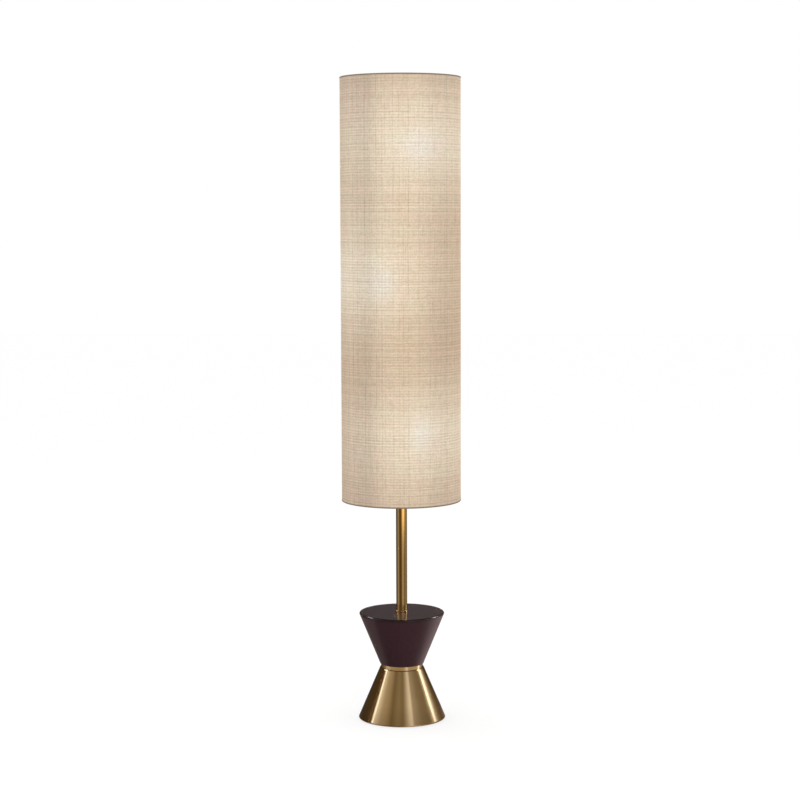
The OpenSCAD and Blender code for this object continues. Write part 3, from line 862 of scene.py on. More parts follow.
@dataclass(frozen=True)
class LinenFinish:
    """Slubbed linen: plain weave of uneven yarns, with the bulbs' light painted into it as emission.

    Its noises are read on the flat cloth in millimetres, or along a yarn and at the yarn's number.
    """

    width: float
    height: float
    glow: Glow
    cloth: Colour = (0.440, 0.334, 0.230)
    thread: float = 1.14
    weft_wander: Grain = Grain((0.006, 0.012, 0), 1)
    weft_wander_by: float = 2.4
    warp_wander: Grain = Grain((0.014, 0.005, 0), 1)
    warp_wander_by: float = 3.0
    # Ribs along the weft come and go, and slip a little
    rib: float = 6.2
    rib_slip: Grain = Grain((0.003, 0.02, 0), 1)
    rib_slip_by: float = 2.2
    rib_shift: float = 0.25
    rib_patches: Grain = Grain((0.014, APART, 0))
    rib_share: Pair = (3.0, -0.7)
    # A few warp yarns are dark, over part of their length
    dark_patches: Grain = Grain((APART, 0.013, 0))
    dark_share: Pair = (3.5, -1.1)
    dark_rare: float = 3.5
    dark_seed: float = 0.37
    dark_mean: float = 0.12
    slubs: Grain = Grain((0.050, APART, 0), 3)
    bars: Grain = Grain((0, 0.085, 0))
    streaks: Grain = Grain((APART, 0.03, 0))
    knot_step: float = 917.0
    # How much each of them changes the tone
    rib_tone: float = 0.078
    weft_tone: float = 0.115
    slub_tone: float = 0.27
    bar_tone: float = 0.075
    dark_tone: float = -0.20
    streak_tone: float = 0.21
    knot_tone: float = 0.14
    # Painted shade: the yarns are darker in the weave's hollows, between their crossings
    hollow_shade_tones: Pair = (0.955, 1.02)
    # A darker tone is browner: the powers of green and blue
    tone_powers: Pair = (1.12, 1.28)
    patches: Grain = Grain((0.022, 0.030, 0))
    patch_gain: float = 2.4
    greener: Colour = (0.985, 1.012, 1.0)
    pinker: Colour = (1.018, 0.985, 1.0)
    # How much the light's green and blue change from the middle to the right edge
    fade: Pair = (-0.05, -0.095)
    # Painted light and shade: soft upright bands, where each stands from left to right, and how much lighter
    # it is
    bands: tuple[Pair, ...] = (
        (-0.98, -0.055), (-0.82, 0.060), (-0.54, -0.070), (-0.35, 0.025), (0.66, -0.020),
    )
    painted_band_wide: float = 0.07
    roughness: Pair = (0.96, 0.84)
    yarn_high: float = 0.12 * MM
    yarn_seen: float = 0.6

    def tone(self, tree: Tree, flat: Socket) -> tuple[Socket, Socket]:
        """Weaves the yarns' tones and the relief.

        Args:
            tree: The material it is for.
            flat: The point on the flat cloth, in millimetres.

        Returns:
            The tone about 1, and the relief from 0 to 1.
        """
        u, v, _ = tree.parts(flat)
        v = tree.line(tree.noise(flat, self.weft_wander), self.weft_wander_by, v)
        u = tree.line(tree.noise(flat, self.warp_wander), self.warp_wander_by, u)
        weft, warp = tree.times(v, 1 / self.thread), tree.times(u, 1 / self.thread)
        weft_pair = tree.math("FLOOR", tree.times(weft, 0.5))
        warp_pair = tree.math("FLOOR", tree.line(warp, 0.5, 0.5))
        rib_turn = tree.times(v, 1 / self.rib)
        rib_no = tree.math("FLOOR", tree.math("ADD", rib_turn, self.rib_shift))
        slip = tree.times(tree.noise(tree.joined(u, v), self.rib_slip), self.rib_slip_by)
        ribs = tree.math("SINE", tree.line(rib_turn, math.tau, slip))
        rib_share = tree.noise(tree.joined(u, rib_no), self.rib_patches)
        rib_share = tree.line(rib_share, *self.rib_share, clamp=True)
        dark = tree.math("POWER", tree.chance(tree.math("ADD", warp_pair, self.dark_seed)), self.dark_rare)
        along_warp = tree.joined(warp_pair, v)
        dark_share = tree.line(tree.noise(along_warp, self.dark_patches), *self.dark_share, clamp=True)
        parts = [
            (tree.times(ribs, rib_share), 0.0, self.rib_tone),
            (tree.chance(weft_pair), MEAN, self.weft_tone),
            (tree.noise(tree.joined(u, weft_pair), self.slubs), MEAN, self.slub_tone),
            (tree.noise(tree.joined(0.0, v), self.bars), MEAN, self.bar_tone),
            (tree.times(dark, dark_share), self.dark_mean, self.dark_tone),
            (tree.noise(along_warp, self.streaks), MEAN, self.streak_tone),
            (tree.chance(tree.line(weft_pair, self.knot_step, warp_pair)), MEAN, self.knot_tone),
        ]
        tone: object = 1.0
        for source, mean, amount in parts:
            tone = tree.math("ADD", tree.line(source, amount, -mean * amount), tone)
        yarns = tree.math("ADD", tree.math("FLOOR", weft), tree.math("FLOOR", warp))
        over = tree.math("PINGPONG", yarns, 1.0)
        weft_round, warp_round = (
            tree.math("SINE", tree.times(tree.math("FRACT", yarn), math.pi)) for yarn in (weft, warp)
        )
        under = tree.math("SUBTRACT", 1.0, over)
        relief = tree.line(warp_round, under, tree.times(weft_round, over))
        # Painted shade in the hollows: the tone is darker where the relief is low
        return tree.times(tone, tree.spread(relief, *self.hollow_shade_tones)), relief

    def painted_shading(self, tree: Tree, across: Socket) -> Socket:
        """The painted light and shade of the soft upright bands.

        Args:
            tree: The material they are for.
            across: The place from left to right, from -1 to 1.

        Returns:
            The tone about 1.
        """
        tone: object = 1.0
        for middle, amount in self.bands:
            off = tree.line(across, 1 / self.painted_band_wide, -middle / self.painted_band_wide)
            tone = tree.line(tree.bell(tree.squared(off)), amount, tone)
        return tone

    def material(self) -> Material:
        """Builds the material.

        Returns:
            The linen.
        """
        tree = Tree("slubbed_linen")
        place = tree.place()
        flat = tree.add("UVMap", uv_map="flat_cloth").outputs["UV"]
        flat = tree.scaled(flat, (self.width / MM, self.height / MM, 0))
        tone, relief = self.tone(tree, flat)
        green, blue = (tree.math("POWER", tone, power) for power in self.tone_powers)
        tones = tree.joined(tone, green, blue)
        share = tree.contrast(tree.noise(flat, self.patches), self.patch_gain)
        across = tree.times(tree.parts(place)[0], 1 / self.glow.radius)
        # The linen's colour patches, times the painted light and shade of the upright bands
        patches_and_painted_bands = tree.tinted(tree.blend(share, self.greener, self.pinker), self.painted_shading(tree, across))
        green, blue = (tree.line(across, loss, 1.0) for loss in self.fade)
        # Painted light: the bulbs' light through the cloth, given as its emission
        light = tree.scaled(self.glow.light(tree, place), tones)
        light = tree.scaled(light, tree.joined(1.0, green, blue))
        tree.set(Base_Color=tree.scaled(tree.scaled(self.cloth, tones), patches_and_painted_bands))
        tree.set(Emission_Color=tree.scaled(light, patches_and_painted_bands), Emission_Strength=1.0)
        tree.set(Roughness=tree.spread(relief, *self.roughness))
        tree.set(Specular_IOR_Level=0.2, Sheen_Weight=0.05, Sheen_Roughness=0.6)
        tree.bump(relief, self.yarn_high, self.yarn_seen)
        return tree.material


@dataclass(frozen=True)
class TapeFinish:
    """Folded tape of the same linen, two layers thick, so that no light comes through, and darker than the
    linen as painted shade of the rolled edge.
    """

    # Painted shade: both colours are darker than the linen's, for the rolled edge's shadow
    cloth: Colour = (0.300, 0.225, 0.165)
    deep: Colour = (0.225, 0.168, 0.125)
    yarn: Grain = Grain((420, 420, 900), 3)
    broad: Grain = Grain((60, 60, 40))
    yarn_share: float = 0.65
    gain: float = 3.0
    roughness: Pair = (0.80, 0.95)
    yarn_high: float = 0.15 * MM

    def material(self) -> Material:
        """Builds the material.

        Returns:
            The tape.
        """
        tree = Tree("linen_tape_painted_shade")
        place = tree.place()
        yarn = tree.noise(place, self.yarn)
        tone = tree.mixed(yarn, tree.noise(place, self.broad), self.yarn_share)
        tree.set(Base_Color=tree.blend(tree.contrast(tone, self.gain), self.deep, self.cloth))
        tree.set(Roughness=tree.spread(yarn, *self.roughness), Specular_IOR_Level=0.2, Sheen_Weight=0.1)
        tree.bump(yarn, self.yarn_high)
        return tree.material


BRUSHED_BRASS = MetalFinish(
    "brushed_brass", (0.650, 0.478, 0.278), (0.620, 0.448, 0.254), (0.13, 0.17), Brushing.ROUND, spin=0.9,
    edge=(0.35, 0.37, 0.41), foot=0.22,
)
POLE_BRASS = MetalFinish(
    "satin_brass", (0.620, 0.420, 0.190), (0.600, 0.400, 0.175), (0.12, 0.14), Brushing.ALONG, 0.0003 * MM
)
POLISHED_BRASS = MetalFinish("polished_brass", (0.620, 0.450, 0.230), (0.560, 0.400, 0.200), (0.10, 0.20))
STEEL = MetalFinish("zinc_steel", (0.56, 0.56, 0.57), (0.47, 0.47, 0.49), (0.30, 0.46))
NICKEL = MetalFinish("nickel", (0.62, 0.60, 0.56), (0.54, 0.52, 0.49), (0.16, 0.28), Brushing.ROUND)
IRON = DullFinish("cast_iron", (0.060, 0.058, 0.056), (0.030, 0.029, 0.028), 700, (0.65, 0.90), 0.2 * MM)
PLASTIC = DullFinish(
    "black_plastic", (0.026, 0.025, 0.025), (0.016, 0.016, 0.017), 1500, (0.42, 0.60), 0.04 * MM
)
RUBBER = DullFinish("lead_rubber", (0.030, 0.029, 0.028), (0.018, 0.018, 0.018), 900, (0.55, 0.75), 0.03 * MM)
FELT = DullFinish("wool_felt", (0.034, 0.032, 0.032), (0.014, 0.013, 0.014), 1100, (0.90, 1.0), 0.4 * MM, 0.6)


# Sub-assemblies


def fitted(obj: Obj, finish: Finish, body: str, node: str) -> Obj:
    """Dresses a finished piece and lets it ride.

    Args:
        obj: The piece.
        finish: What it is made of.
        body: The body that it moves with.
        node: The solid that it stands for.

    Returns:
        The piece.
    """
    obj.data.materials.clear()
    obj.data.materials.append(finish.material())
    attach(obj, body)
    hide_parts(node)
    log.info("%s: %d faces, rides on %s for %s", obj.name, len(obj.data.polygons), body, node)
    return obj


@dataclass
class BrassCone:
    """The spun brass cone with its rolled lip, and the ring on its top."""

    slope_low: float = 0.1000
    slope_high: float = 0.0505
    bead: float = 1.6 * MM
    bead_steps: int = 12
    # The slope starts this many bead radii over the bead's middle
    slope_start: float = 1.2
    sheet: float = 1.2 * MM
    shoulder: float = 1.6 * MM
    shoulder_steps: int = 10
    ring_wall: float = 8.0 * MM
    ring_edge: float = 0.3 * MM
    ring_steps: int = 6

    def cone(self) -> Obj:
        """Turns the cone's shell, with the bead at its lip.

        Returns:
            The cone.
        """
        low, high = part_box("base_cone")
        lip_z = low.z + self.bead
        lean = math.atan2(self.slope_low - self.slope_high, high.z - lip_z)
        bead_r = self.slope_low - self.bead
        points = []
        for step in range(self.bead_steps + 1):
            angle = lean + (math.pi - lean) * step / self.bead_steps - math.pi
            points.append((bead_r + self.bead * math.cos(angle), lip_z + self.bead * math.sin(angle)))
        start = self.bead * self.slope_start
        for rise in (start, start + HOLD):
            points.append((self.slope_low - rise * math.tan(lean), lip_z + rise))
        under = high.z - self.sheet
        wall = self.sheet / math.cos(lean)
        shell = outline([
            Corner(self.slope_high, high.z, self.shoulder),
            Corner(BORE, high.z),
            Corner(BORE, under),
            Corner(self.slope_high - wall + self.sheet * math.tan(lean), under),
            Corner(self.slope_low, lip_z),
        ], self.shoulder_steps)[:-1]
        obj = Bench.turned("brass_cone", [*points, *shell])
        Bench.smooth(obj)
        return fitted(obj, BRUSHED_BRASS, STAND, "base_cone")

    def ring(self) -> Obj:
        """Turns the ring between the cones, with softened edges.

        Returns:
            The ring.
        """
        node = "neck_ring"
        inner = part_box(node)[1].x - self.ring_wall
        obj = Bench.band("neck_ring_turned", node, inner, self.ring_edge, self.ring_steps, WIDE_STEPS)
        return fitted(obj, BRUSHED_BRASS, STAND, node)


@dataclass
class WoodCone:
    """The dark wood cone, wide end up."""

    low_r: float = 0.0501
    top_r: float = 0.0993
    top_edge: float = 3.0 * MM
    low_edge: float = 0.8 * MM
    edge_steps: int = 12

    def build(self) -> Obj:
        """Turns the cone with its rounded rims and the rod's hole.

        Returns:
            The cone.
        """
        low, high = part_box("wood_cone")
        corners = [
            Corner(BORE, low.z),
            Corner(self.low_r, low.z, self.low_edge),
            Corner(self.top_r, high.z, self.top_edge),
            Corner(BORE, high.z),
        ]
        obj = Bench.turned("wood_cone_turned", outline(corners, self.edge_steps))
        Bench.smooth(obj)
        return fitted(obj, WoodFinish(high.z), STAND, "wood_cone")


@dataclass
class Pole:
    """The brass pole that shows under the shade, with the ring at its foot."""

    wall: float = 1.2 * MM
    edge: float = 0.3 * MM
    tube_edge_steps: int = 3
    foot_edge_steps: int = 8

    def tube(self) -> Obj:
        """Turns the pole's tube.

        Returns:
            The tube.
        """
        node = "pole_lower"
        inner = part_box(node)[1].x - self.wall
        obj = Bench.band("pole_tube", node, inner, self.edge, self.tube_edge_steps, SLIM_STEPS)
        return fitted(obj, POLE_BRASS, STAND, node)

    def foot(self) -> Obj:
        """Turns the ring at the pole's foot.

        Returns:
            The ring.
        """
        node, segments = "foot_ring", self.foot_edge_steps
        obj = Bench.band("foot_ring_turned", node, BORE, self.edge, segments, SLIM_STEPS)
        return fitted(obj, POLE_BRASS, STAND, node)


@dataclass
class Shade:
    """The linen cylinder: a sheet rolled round and lapped at the back, and tape over both edges."""

    bulbs: tuple[Vector, ...]
    outer: float = 0.1365
    cloth: float = 0.8 * MM
    lap: float = 14 * MM
    lap_rise: float = 0.40 * MM
    lap_ramp: float = 3 * MM
    tape: float = 0.5 * MM
    tape_roll: float = 1.4 * MM
    # The tape's free edges are rounded by this share of its thickness
    tape_soft: float = 0.4
    tape_in: float = 5.5 * MM
    columns: int = 312
    rows: int = 64

    def linen(self) -> Obj:
        """Rolls the flat cloth into the cylinder, with its lap at the back.

        Returns:
            The cloth.
        """
        low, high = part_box("shade_cloth")
        height = high.z - low.z
        middle = self.outer - self.cloth / 2
        width = math.tau * middle + self.lap
        Bench.clear()
        bpy.ops.mesh.primitive_grid_add(
            x_subdivisions=self.columns, y_subdivisions=self.rows, size=1, calc_uvs=True
        )
        obj = Bench.named("shade_linen")
        obj.data.uv_layers[0].name = "flat_cloth"
        for vertex in obj.data.vertices:
            along = (vertex.co.x + 0.5) * width
            over = (along - (width - self.lap - self.lap_ramp)) / self.lap_ramp
            radius = self.outer + self.lap_rise * min(max(over, 0.0), 1.0)
            turn = math.pi / 2 + (along - self.lap / 2) / middle
            z = low.z + (vertex.co.y + 0.5) * height
            vertex.co = (radius * math.cos(turn), radius * math.sin(turn), z)
        Bench.thicken(obj, self.cloth)
        Bench.smooth(obj)
        finish = LinenFinish(width, height, Glow(self.bulbs, self.outer))
        fitted(obj, finish, SHADE, "shade_cloth")
        return obj

    def edging(self, name: str, node: str, up: int) -> Obj:
        """Turns the tape that is folded over one edge of the shade.

        Args:
            name: The piece's name.
            node: The solid that it stands for.
            up: 1 for the top edge and -1 for the bottom edge.

        Returns:
            The tape.
        """
        low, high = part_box(node)
        edge, hem = (high.z, low.z) if up > 0 else (low.z, high.z)
        outer, inner = high.x, self.outer - self.tape_in
        under = edge - up * self.tape
        corners = [
            Corner(outer, hem, self.tape * self.tape_soft),
            Corner(outer, edge, self.tape_roll),
            Corner(inner, edge, self.tape * self.tape_soft),
            Corner(inner, under),
            Corner(outer - self.tape, under),
            Corner(outer - self.tape, hem),
        ]
        obj = Bench.turned(name, outline(corners))
        Bench.smooth(obj, SOFT_CREASE)
        return fitted(obj, TapeFinish(), SHADE, node)


@dataclass
class FeltPad:
    """The round felt under the base, with soft edges."""

    edge: float = 0.8 * MM
    edge_steps: int = 4
    steps: int = 192
    # The inner ring of its underside lies this share of the radius in from its edge
    inset: float = 0.5

    def build(self) -> Obj:
        """Presses the pad from a disc.

        Returns:
            The pad.
        """
        low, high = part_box("felt_pad")
        radius, thick = high.x, high.z - low.z
        Bench.clear()
        bpy.ops.mesh.primitive_cylinder_add(
            vertices=self.steps, radius=radius, depth=thick, location=(0, 0, (low.z + high.z) / 2)
        )
        obj = Bench.named("felt_disc")

        def on_rim(ends: Sequence[Vector]) -> bool:
            """Whether an edge runs round the disc's rim."""
            level = abs(ends[0].z - ends[1].z) < NEAR
            return level and all(math.hypot(end.x, end.y) > radius - NEAR for end in ends)

        bpy.ops.object.mode_set(mode="EDIT")
        Bench.pick(obj, Part.EDGE, on_rim)
        bpy.ops.mesh.bevel(offset=self.edge, segments=self.edge_steps, affect="EDGES")
        Bench.pick(obj, Part.FACE, lambda corners: all(one.z < low.z + NEAR for one in corners))
        bpy.ops.mesh.inset(thickness=radius * self.inset, depth=0)
        Bench.close()
        Bench.smooth(obj, SOFT_CREASE)
        fitted(obj, FELT, STAND, "felt_pad")
        return obj


def ball_middle(node: str) -> Vector:
    """The middle of a bulb's ball, from its solid.

    Args:
        node: The bulb's glass.

    Returns:
        The middle.
    """
    low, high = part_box(node)
    middle = (low + high) / 2
    middle.z = high.z - (high.x - low.x) / 2
    return middle


@dataclass
class Hardware:
    """The solids that are shown as they are, each in its slot's finish."""

    finishes: dict[str, Finish] = field(default_factory=lambda: {
        "steel": STEEL,
        "iron": IRON,
        "pole_brass": POLE_BRASS,
        "polished_brass": POLISHED_BRASS,
        "black_plastic": PLASTIC,
        "nickel": NICKEL,
        "lead_rubber": RUBBER,
        "shade_styrene": StyreneFinish(),
    })

    def dress(self) -> None:
        """Gives every solid that is still shown the material of its slot, and each bulb its own."""
        made: dict[str, Material] = {}
        for row in frame["record"]["subparts"]:
            node, slot = row["node"], row["material_slot"]
            obj = frame["nodes"][node]
            if obj.hide_render:
                continue
            if slot == "frosted_glass":
                material = BulbFinish(ball_middle(node)).material()
            else:
                if slot not in made:
                    made[slot] = self.finishes[slot].material()
                material = made[slot]
            for place in obj.material_slots:
                place.material = material
            log.info("%s: solid shown in %s", node, material.name)


# Studio


def card_row(*rows: tuple[float, ...]) -> tuple[Stop, ...]:
    """The stops of a row of cards, each given as azimuth, level and perhaps warmth."""
    return tuple(Stop(*row) for row in rows)


# The wall, which the brass cone mirrors
WALL_CARDS = card_row(
    (-180, 0.12, 0), (-150, 0.11, 1), (-133, 0.12, 2), (-109, 0.07, 2.4), (-96, 0.09, 2.4),
    (-91.8, 0.15), (-88.0, 2.8), (-85.5, 2.8), (-84.5, 1.1), (-79, 0.95), (-65, 0.57, 1.4),
    (-47, 0.45, 1.4), (-38, 0.33, 1.3), (-31, 0.24, 1.3), (-13, 0.36, 1.2), (-4, 0.32, 1.2),
    (3, 0.28, 1.2), (9, 0.44), (16, 0.70, 0.6), (22, 1.0, 0.3), (29, 1.15, 0.2), (35, 0.52, 0.6),
    (57, 0.31, 0.8), (84, 0.24), (95, 0.8), (98, 3.2), (102.5, 3.2), (106, 1.8, 1.6),
    (112, 1.2, 2.0), (124, 0.52, 1.8), (140, 0.24, 1.8), (180, 0.12, 0),
)
# The wall's foot and the floor before it, which the pole mirrors
LOW_CARDS = card_row(
    (-180, 0.14, 0), (-143, 0.11, 0.6), (-122, 0.09, 1.0), (-106, 0.11, 1.2), (-88, 0.38, 0.4),
    (-70, 0.48, 0.2), (-54, 0.28, 1.0), (-42, 0.17, 1.8), (-24, 0.12, 1.9), (-6, 0.15, 2.2),
    (5, 0.28, 1.3), (15, 0.50, 0.3), (38, 0.50, 0.3), (50, 0.32, 0.8), (62, 0.22, 1.3),
    (85, 0.32, 0.5), (106, 0.38, 0.4), (126, 0.26, 1.2), (143, 0.15, 1.6), (180, 0.14, 0),
)
# The floor near the lamp, which the wood mirrors
FLOOR_CARDS = card_row(
    (-180, 0.20, 0), (-133, 0.14, 0), (-110, 0.22, 0), (-90, 0.26, 0), (-78, 0.09, 0),
    (-60, 0.08, 0), (0, 0.12, 0), (42, 0.18, 0), (68, 0.23, 0), (82, 0.35, 0), (98, 0.56, 0),
    (117, 0.60, 0), (144, 0.36, 0), (180, 0.22, 0),
)


@dataclass(frozen=True)
class CardPlace:
    """Where a point of the card ring lies: its height, its distance from the axis and its turn.

    The turn is in radians right of the camera. Aside is its size, and right and wall are 1 or 0.
    """

    z: Socket
    away: Socket
    turn: Socket
    aside: Socket
    right: Socket
    wall: Socket


@dataclass
class Cards:
    """A ring of light and dark cards round the set, which only reflections see.

    A pair named edge is a soft edge's start and width, and it fades out where the width is
    negative. Turns are in radians to either side of the camera.
    """

    hole_r: float = 0.1008
    ring_r: float = 1.6
    ring_h: float = 4.0
    skin: float = 1.0 * MM
    steps: int = 96
    # Over this height the wall's cards begin, and over the lid they are kept dimmer
    wall_edge: Pair = (0.34, 0.08)
    lid_edge: Pair = (0.86, 0.08)
    lid_levels: Pair = (9.0, 1.2)
    # Before and beside the lamp the floor repeats the wall's cards, lighter and between two
    # levels. Where one pair stands for both sides, the left one comes first.
    belt_edge: Pair = (0.9, -0.1)
    belt_gain: float = 1.4
    belt_least: Colour = (0.80, 0.67, 0.46)
    belt_most: Pair = (1.0, 3.0)
    belt_turns: Pair = (1.85, 2.02)
    belt_fade: float = 0.15
    # How far the floor near the lamp reaches behind it, and before and beside it
    near_reach: Pair = (1.2, 0.52)
    near_fade: float = 0.06
    near_tint: Colour = (1.30, 1.0, 0.97)
    # Behind the lamp the floor is dark near the brass lip
    lip_edge: Pair = (0.32, -0.06)
    lip_turn: float = 2.42
    lip_colour: Colour = (0.10, 0.07, 0.045)
    roof_edge: Pair = (1.15, 0.15)
    roof_colour: Colour = (0.20, 0.17, 0.13)
    # The wall right behind the lamp is nearly black over this height
    back_edge: Pair = (0.72, 0.06)
    back_turn: float = 2.75
    back_colour: Colour = (0.04, 0.04, 0.04)
    # A warm patch low on the wall, right of the camera
    warm: Colour = (2.3, 1.85, 0.85)
    warm_turn: float = 0.66
    warm_wide: float = 0.35
    warm_low_edge: Pair = (0.165, 0.07)
    warm_high_edge: Pair = (0.33, -0.05)
    # Two bright boxes on the wall, a little behind the lamp, one on each side
    box_level: float = 34.0
    box_turn: float = 1.98
    box_shift: float = 0.05
    box_z: float = 1.4
    box_wide: float = 0.08
    box_high: float = 0.20

    def where(self, tree: Tree) -> CardPlace:
        """Finds where a point of the ring lies.

        Args:
            tree: The cards' material.

        Returns:
            The point's place.
        """
        x, y, z = tree.parts(tree.place())
        away = tree.vector("LENGTH", tree.joined(x, y))
        turn = tree.math("ARCTAN2", x, tree.times(y, -1.0))
        right = tree.math("GREATER_THAN", turn, 0.0)
        wall = tree.math("GREATER_THAN", away, self.ring_r - self.skin)
        return CardPlace(z, away, turn, tree.math("ABSOLUTE", turn), right, wall)

    def until(self, tree: Tree, number: Socket, which: Socket, ends: Pair, fade: float) -> Socket:
        """A soft edge that fades out at the first or the second end, as which is 0 or 1."""
        end = tree.spread(which, ends[0] / fade, ends[1] / fade)
        return tree.line(number, -1 / fade, end, clamp=True)

    def rows(self, tree: Tree, at: CardPlace) -> Socket:
        """The wall, its foot and the floor.

        Args:
            tree: The cards' material.
            at: The point's place.

        Returns:
            The cards' colour.
        """
        share = tree.line(at.turn, 1 / math.tau, 0.5)
        wall = tree.ramp(share, WALL_CARDS)
        belt = tree.vector("MAXIMUM", tree.scaled(wall, (self.belt_gain,) * 3), self.belt_least)
        belt = tree.vector("MINIMUM", belt, tree.even(tree.spread(at.right, *self.belt_most)))
        lid = tree.spread(tree.rise(at.z, *self.lid_edge), *self.lid_levels)
        wall = tree.vector("MINIMUM", wall, tree.even(lid))
        seen = tree.blend(tree.rise(at.z, *self.wall_edge), tree.ramp(share, LOW_CARDS), wall)
        ahead = self.until(tree, at.aside, at.right, self.belt_turns, self.belt_fade)
        inside = tree.times(tree.rise(at.away, *self.belt_edge), ahead)
        seen = tree.blend(inside, seen, belt)
        near = self.until(tree, at.away, ahead, self.near_reach, self.near_fade)
        return tree.blend(near, seen, tree.scaled(tree.ramp(share, FLOOR_CARDS), self.near_tint))

    def darkened(self, tree: Tree, at: CardPlace, seen: Socket) -> Socket:
        """Darkens the floor behind the lip, the wall's upper part and roof, and the back.

        Args:
            tree: The cards' material.
            at: The point's place.
            seen: The cards' colour.

        Returns:
            The darker colour.
        """
        lip = tree.rise(at.away, *self.lip_edge)
        lip = tree.times(lip, tree.math("GREATER_THAN", at.aside, self.lip_turn))
        back = tree.rise(at.z, *self.back_edge)
        back = tree.times(back, tree.math("GREATER_THAN", at.aside, self.back_turn))
        seen = tree.blend(lip, seen, self.lip_colour)
        seen = tree.blend(tree.rise(at.z, *self.roof_edge), seen, self.roof_colour)
        return tree.blend(back, seen, self.back_colour)

    def lit(self, tree: Tree, at: CardPlace, seen: Socket) -> Socket:
        """Adds the warm patch and the two bright boxes.

        Args:
            tree: The cards' material.
            at: The point's place.
            seen: The cards' colour.

        Returns:
            The lighter colour.
        """
        off = tree.line(at.turn, 1 / self.warm_wide, -self.warm_turn / self.warm_wide)
        low = tree.rise(at.z, *self.warm_low_edge)
        high = tree.times(tree.rise(at.z, *self.warm_high_edge), at.wall)
        warm = tree.times(tree.bell(tree.squared(off)), tree.times(low, high))
        seen = tree.added(seen, tree.tinted(self.warm, warm))
        off = tree.math("ABSOLUTE", tree.math("SUBTRACT", at.turn, self.box_shift))
        off = tree.math("SUBTRACT", off, self.box_turn)
        off = tree.joined(off, tree.math("SUBTRACT", at.z, self.box_z))
        off = tree.scaled(off, (1 / self.box_wide, 1 / self.box_high, 0))
        box = tree.times(tree.bell(tree.vector("DOT_PRODUCT", off, off)), at.wall)
        return tree.added(seen, tree.tinted((self.box_level,) * 3, box))

    def stand(self) -> Obj:
        """Stands the ring round the set.

        Returns:
            The ring.
        """
        out, up, skin = self.ring_r, self.ring_h, self.skin
        obj = Bench.turned("reflected_cards", [
            (self.hole_r, 2 * skin), (out, 2 * skin), (out, up), (skin, up),
            (skin, up + skin), (out + skin, up + skin), (out + skin, skin), (self.hole_r, skin),
        ], self.steps)
        tree = Tree("card_ring")
        at = self.where(tree)
        seen = self.lit(tree, at, self.darkened(tree, at, self.rows(tree, at)))
        tree.put(tree.output.inputs["Surface"], tree.add("Emission", seen).outputs[0])
        tree.nodes.remove(tree.surface)
        tree.material.cycles.emission_sampling = "NONE"
        obj.data.materials.append(tree.material)
        obj.visible_camera = obj.visible_diffuse = obj.visible_shadow = False
        obj.visible_transmission = obj.visible_volume_scatter = False
        return obj


@dataclass(frozen=True)
class Lamp:
    """One large soft lamp over the set, which no reflection shows."""

    name: str
    place: Triple
    watts: float
    aim: Triple = (0, 0, 0.7)
    side: float = 1.8

    def hang(self) -> None:
        """Hangs the lamp and points it at its aim."""
        data = bpy.data.lights.new(self.name, "AREA")
        data.shape, data.size, data.energy = "SQUARE", self.side, self.watts
        obj = bpy.data.objects.new(self.name, data)
        bpy.context.scene.collection.objects.link(obj)
        obj.location = self.place
        obj.rotation_euler = (Vector(self.aim) - Vector(self.place)).to_track_quat("-Z", "Y").to_euler()
        obj.visible_camera = obj.visible_glossy = False


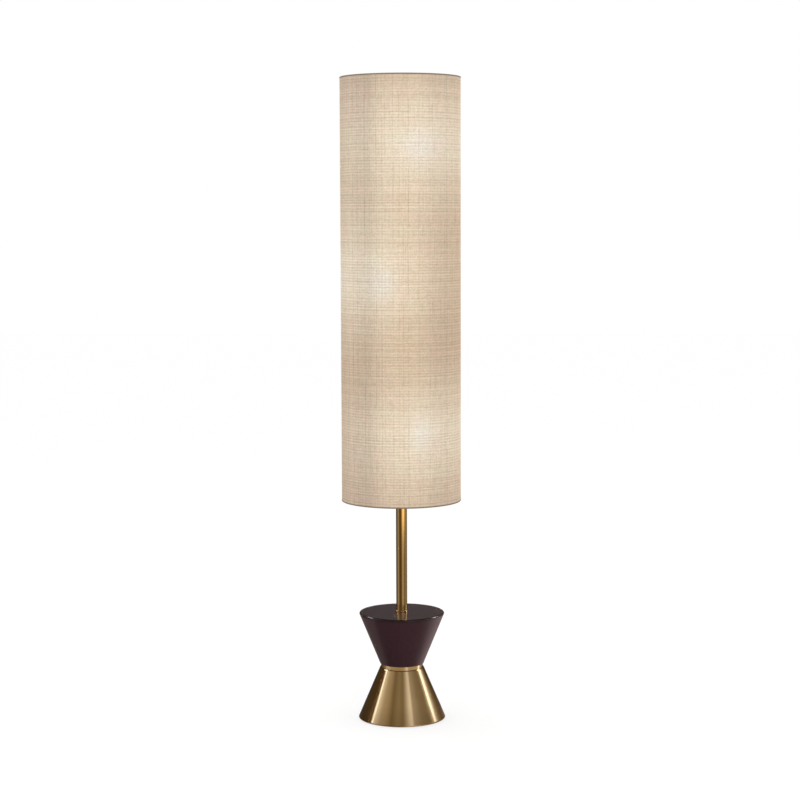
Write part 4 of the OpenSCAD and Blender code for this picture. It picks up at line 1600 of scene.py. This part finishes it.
@dataclass
class Studio:
    """Pale floor, plain soft light, and the cards round the set that the brass mirrors."""

    floor_side: float = 30.0
    # Looked at, the floor has a light of its own and a darker paper. As it lights the lamp, it is plain.
    floor_own: float = 0.60
    floor_lit: float = 0.46
    floor_plain: float = 0.80
    speck: Grain = Grain(40)
    speck_tone: float = 0.01
    ambient: float = 0.86
    lamps: tuple[Lamp, ...] = (Lamp("key_lamp", (0.5, -2.8, 2.6), 16), Lamp("fill_lamp", (-2.0, 1.6, 2.6), 8))

    def sky(self) -> None:
        """Sets a world that is white behind the lamp and a little dimmer as a light."""
        world = bpy.data.worlds.new("studio")
        bpy.context.scene.world = world
        world.use_nodes = True
        graph = Graph(world.node_tree)
        level = graph.spread(graph.looked_at(), self.ambient, 1.0)
        graph.add("OutputWorld", graph.add("Background", (1, 1, 1), level).outputs[0])

    def floor(self) -> Obj:
        """Lays a floor that reads white and still takes the lamp's shadow.

        Returns:
            The floor.
        """
        Bench.clear()
        bpy.ops.mesh.primitive_plane_add(size=self.floor_side, location=(0, 0, 0))
        obj = Bench.named("studio_floor")
        tree = Tree("floor_paper")
        speck = tree.noise(tree.place(), self.speck)
        dark, light = self.floor_lit - self.speck_tone, self.floor_lit + self.speck_tone
        tree.set(Base_Color=tree.blend(speck, (dark,) * 3, (light,) * 3), Roughness=0.9)
        tree.set(Specular_IOR_Level=0.0, Emission_Color=(1.0, 1.0, 1.0), Emission_Strength=self.floor_own)
        plain = tree.add("BsdfDiffuse", (self.floor_plain,) * 3)
        mix = tree.add("MixShader", tree.looked_at(), plain.outputs[0], tree.surface.outputs[0])
        tree.put(tree.output.inputs["Surface"], mix.outputs[0])
        obj.data.materials.append(tree.material)
        return obj

    def build(self) -> None:
        """Sets the whole studio up."""
        self.sky()
        self.floor()
        Cards().stand()
        for lamp in self.lamps:
            lamp.hang()
        log.info("studio: floor, %d cards and %d lamps", len(WALL_CARDS), len(self.lamps))


@dataclass
class Viewpoint:
    """The camera of the photograph."""

    distance: float = 4.426
    height: float = 1.157
    tilt: float = 5.39
    roll: float = 0.183
    lens: float = 87.44
    sensor: float = 36.0
    photo_side: int = 800
    # How far the picture is shifted, in pixels of the photo
    shift: Pair = (-1.1, -0.15)

    def build(self) -> None:
        """Places the camera and makes it the scene's."""
        data = bpy.data.cameras.new("viewpoint")
        data.lens, data.sensor_width = self.lens, self.sensor
        data.shift_x, data.shift_y = (part / self.photo_side for part in self.shift)
        obj = bpy.data.objects.new("viewpoint", data)
        bpy.context.scene.collection.objects.link(obj)
        obj.location = (0, -self.distance, self.height)
        obj.rotation_mode = "QUATERNION"
        level = Quaternion((1, 0, 0), math.radians(90 - self.tilt))
        obj.rotation_quaternion = level @ Quaternion((0, 0, 1), math.radians(-self.roll))
        bpy.context.scene.camera = obj


def main() -> None:
    """Builds the lamp's looks and the studio in order."""
    logging.basicConfig(level=logging.INFO, format="%(name)s %(message)s")
    Viewpoint().build()
    brass = BrassCone()
    brass.cone()
    brass.ring()
    WoodCone().build()
    pole = Pole()
    pole.tube()
    pole.foot()
    shade = Shade(tuple(ball_middle(f"bulb_glass_{level}") for level in ("low", "middle", "top")))
    shade.linen()
    shade.edging("tape_top", "trim_top", 1)
    shade.edging("tape_bottom", "trim_bottom", -1)
    FeltPad().build()
    Hardware().dress()
    Studio().build()
    bpy.context.scene.view_settings.view_transform = "Standard"


if __name__ == "__main__":
    main()
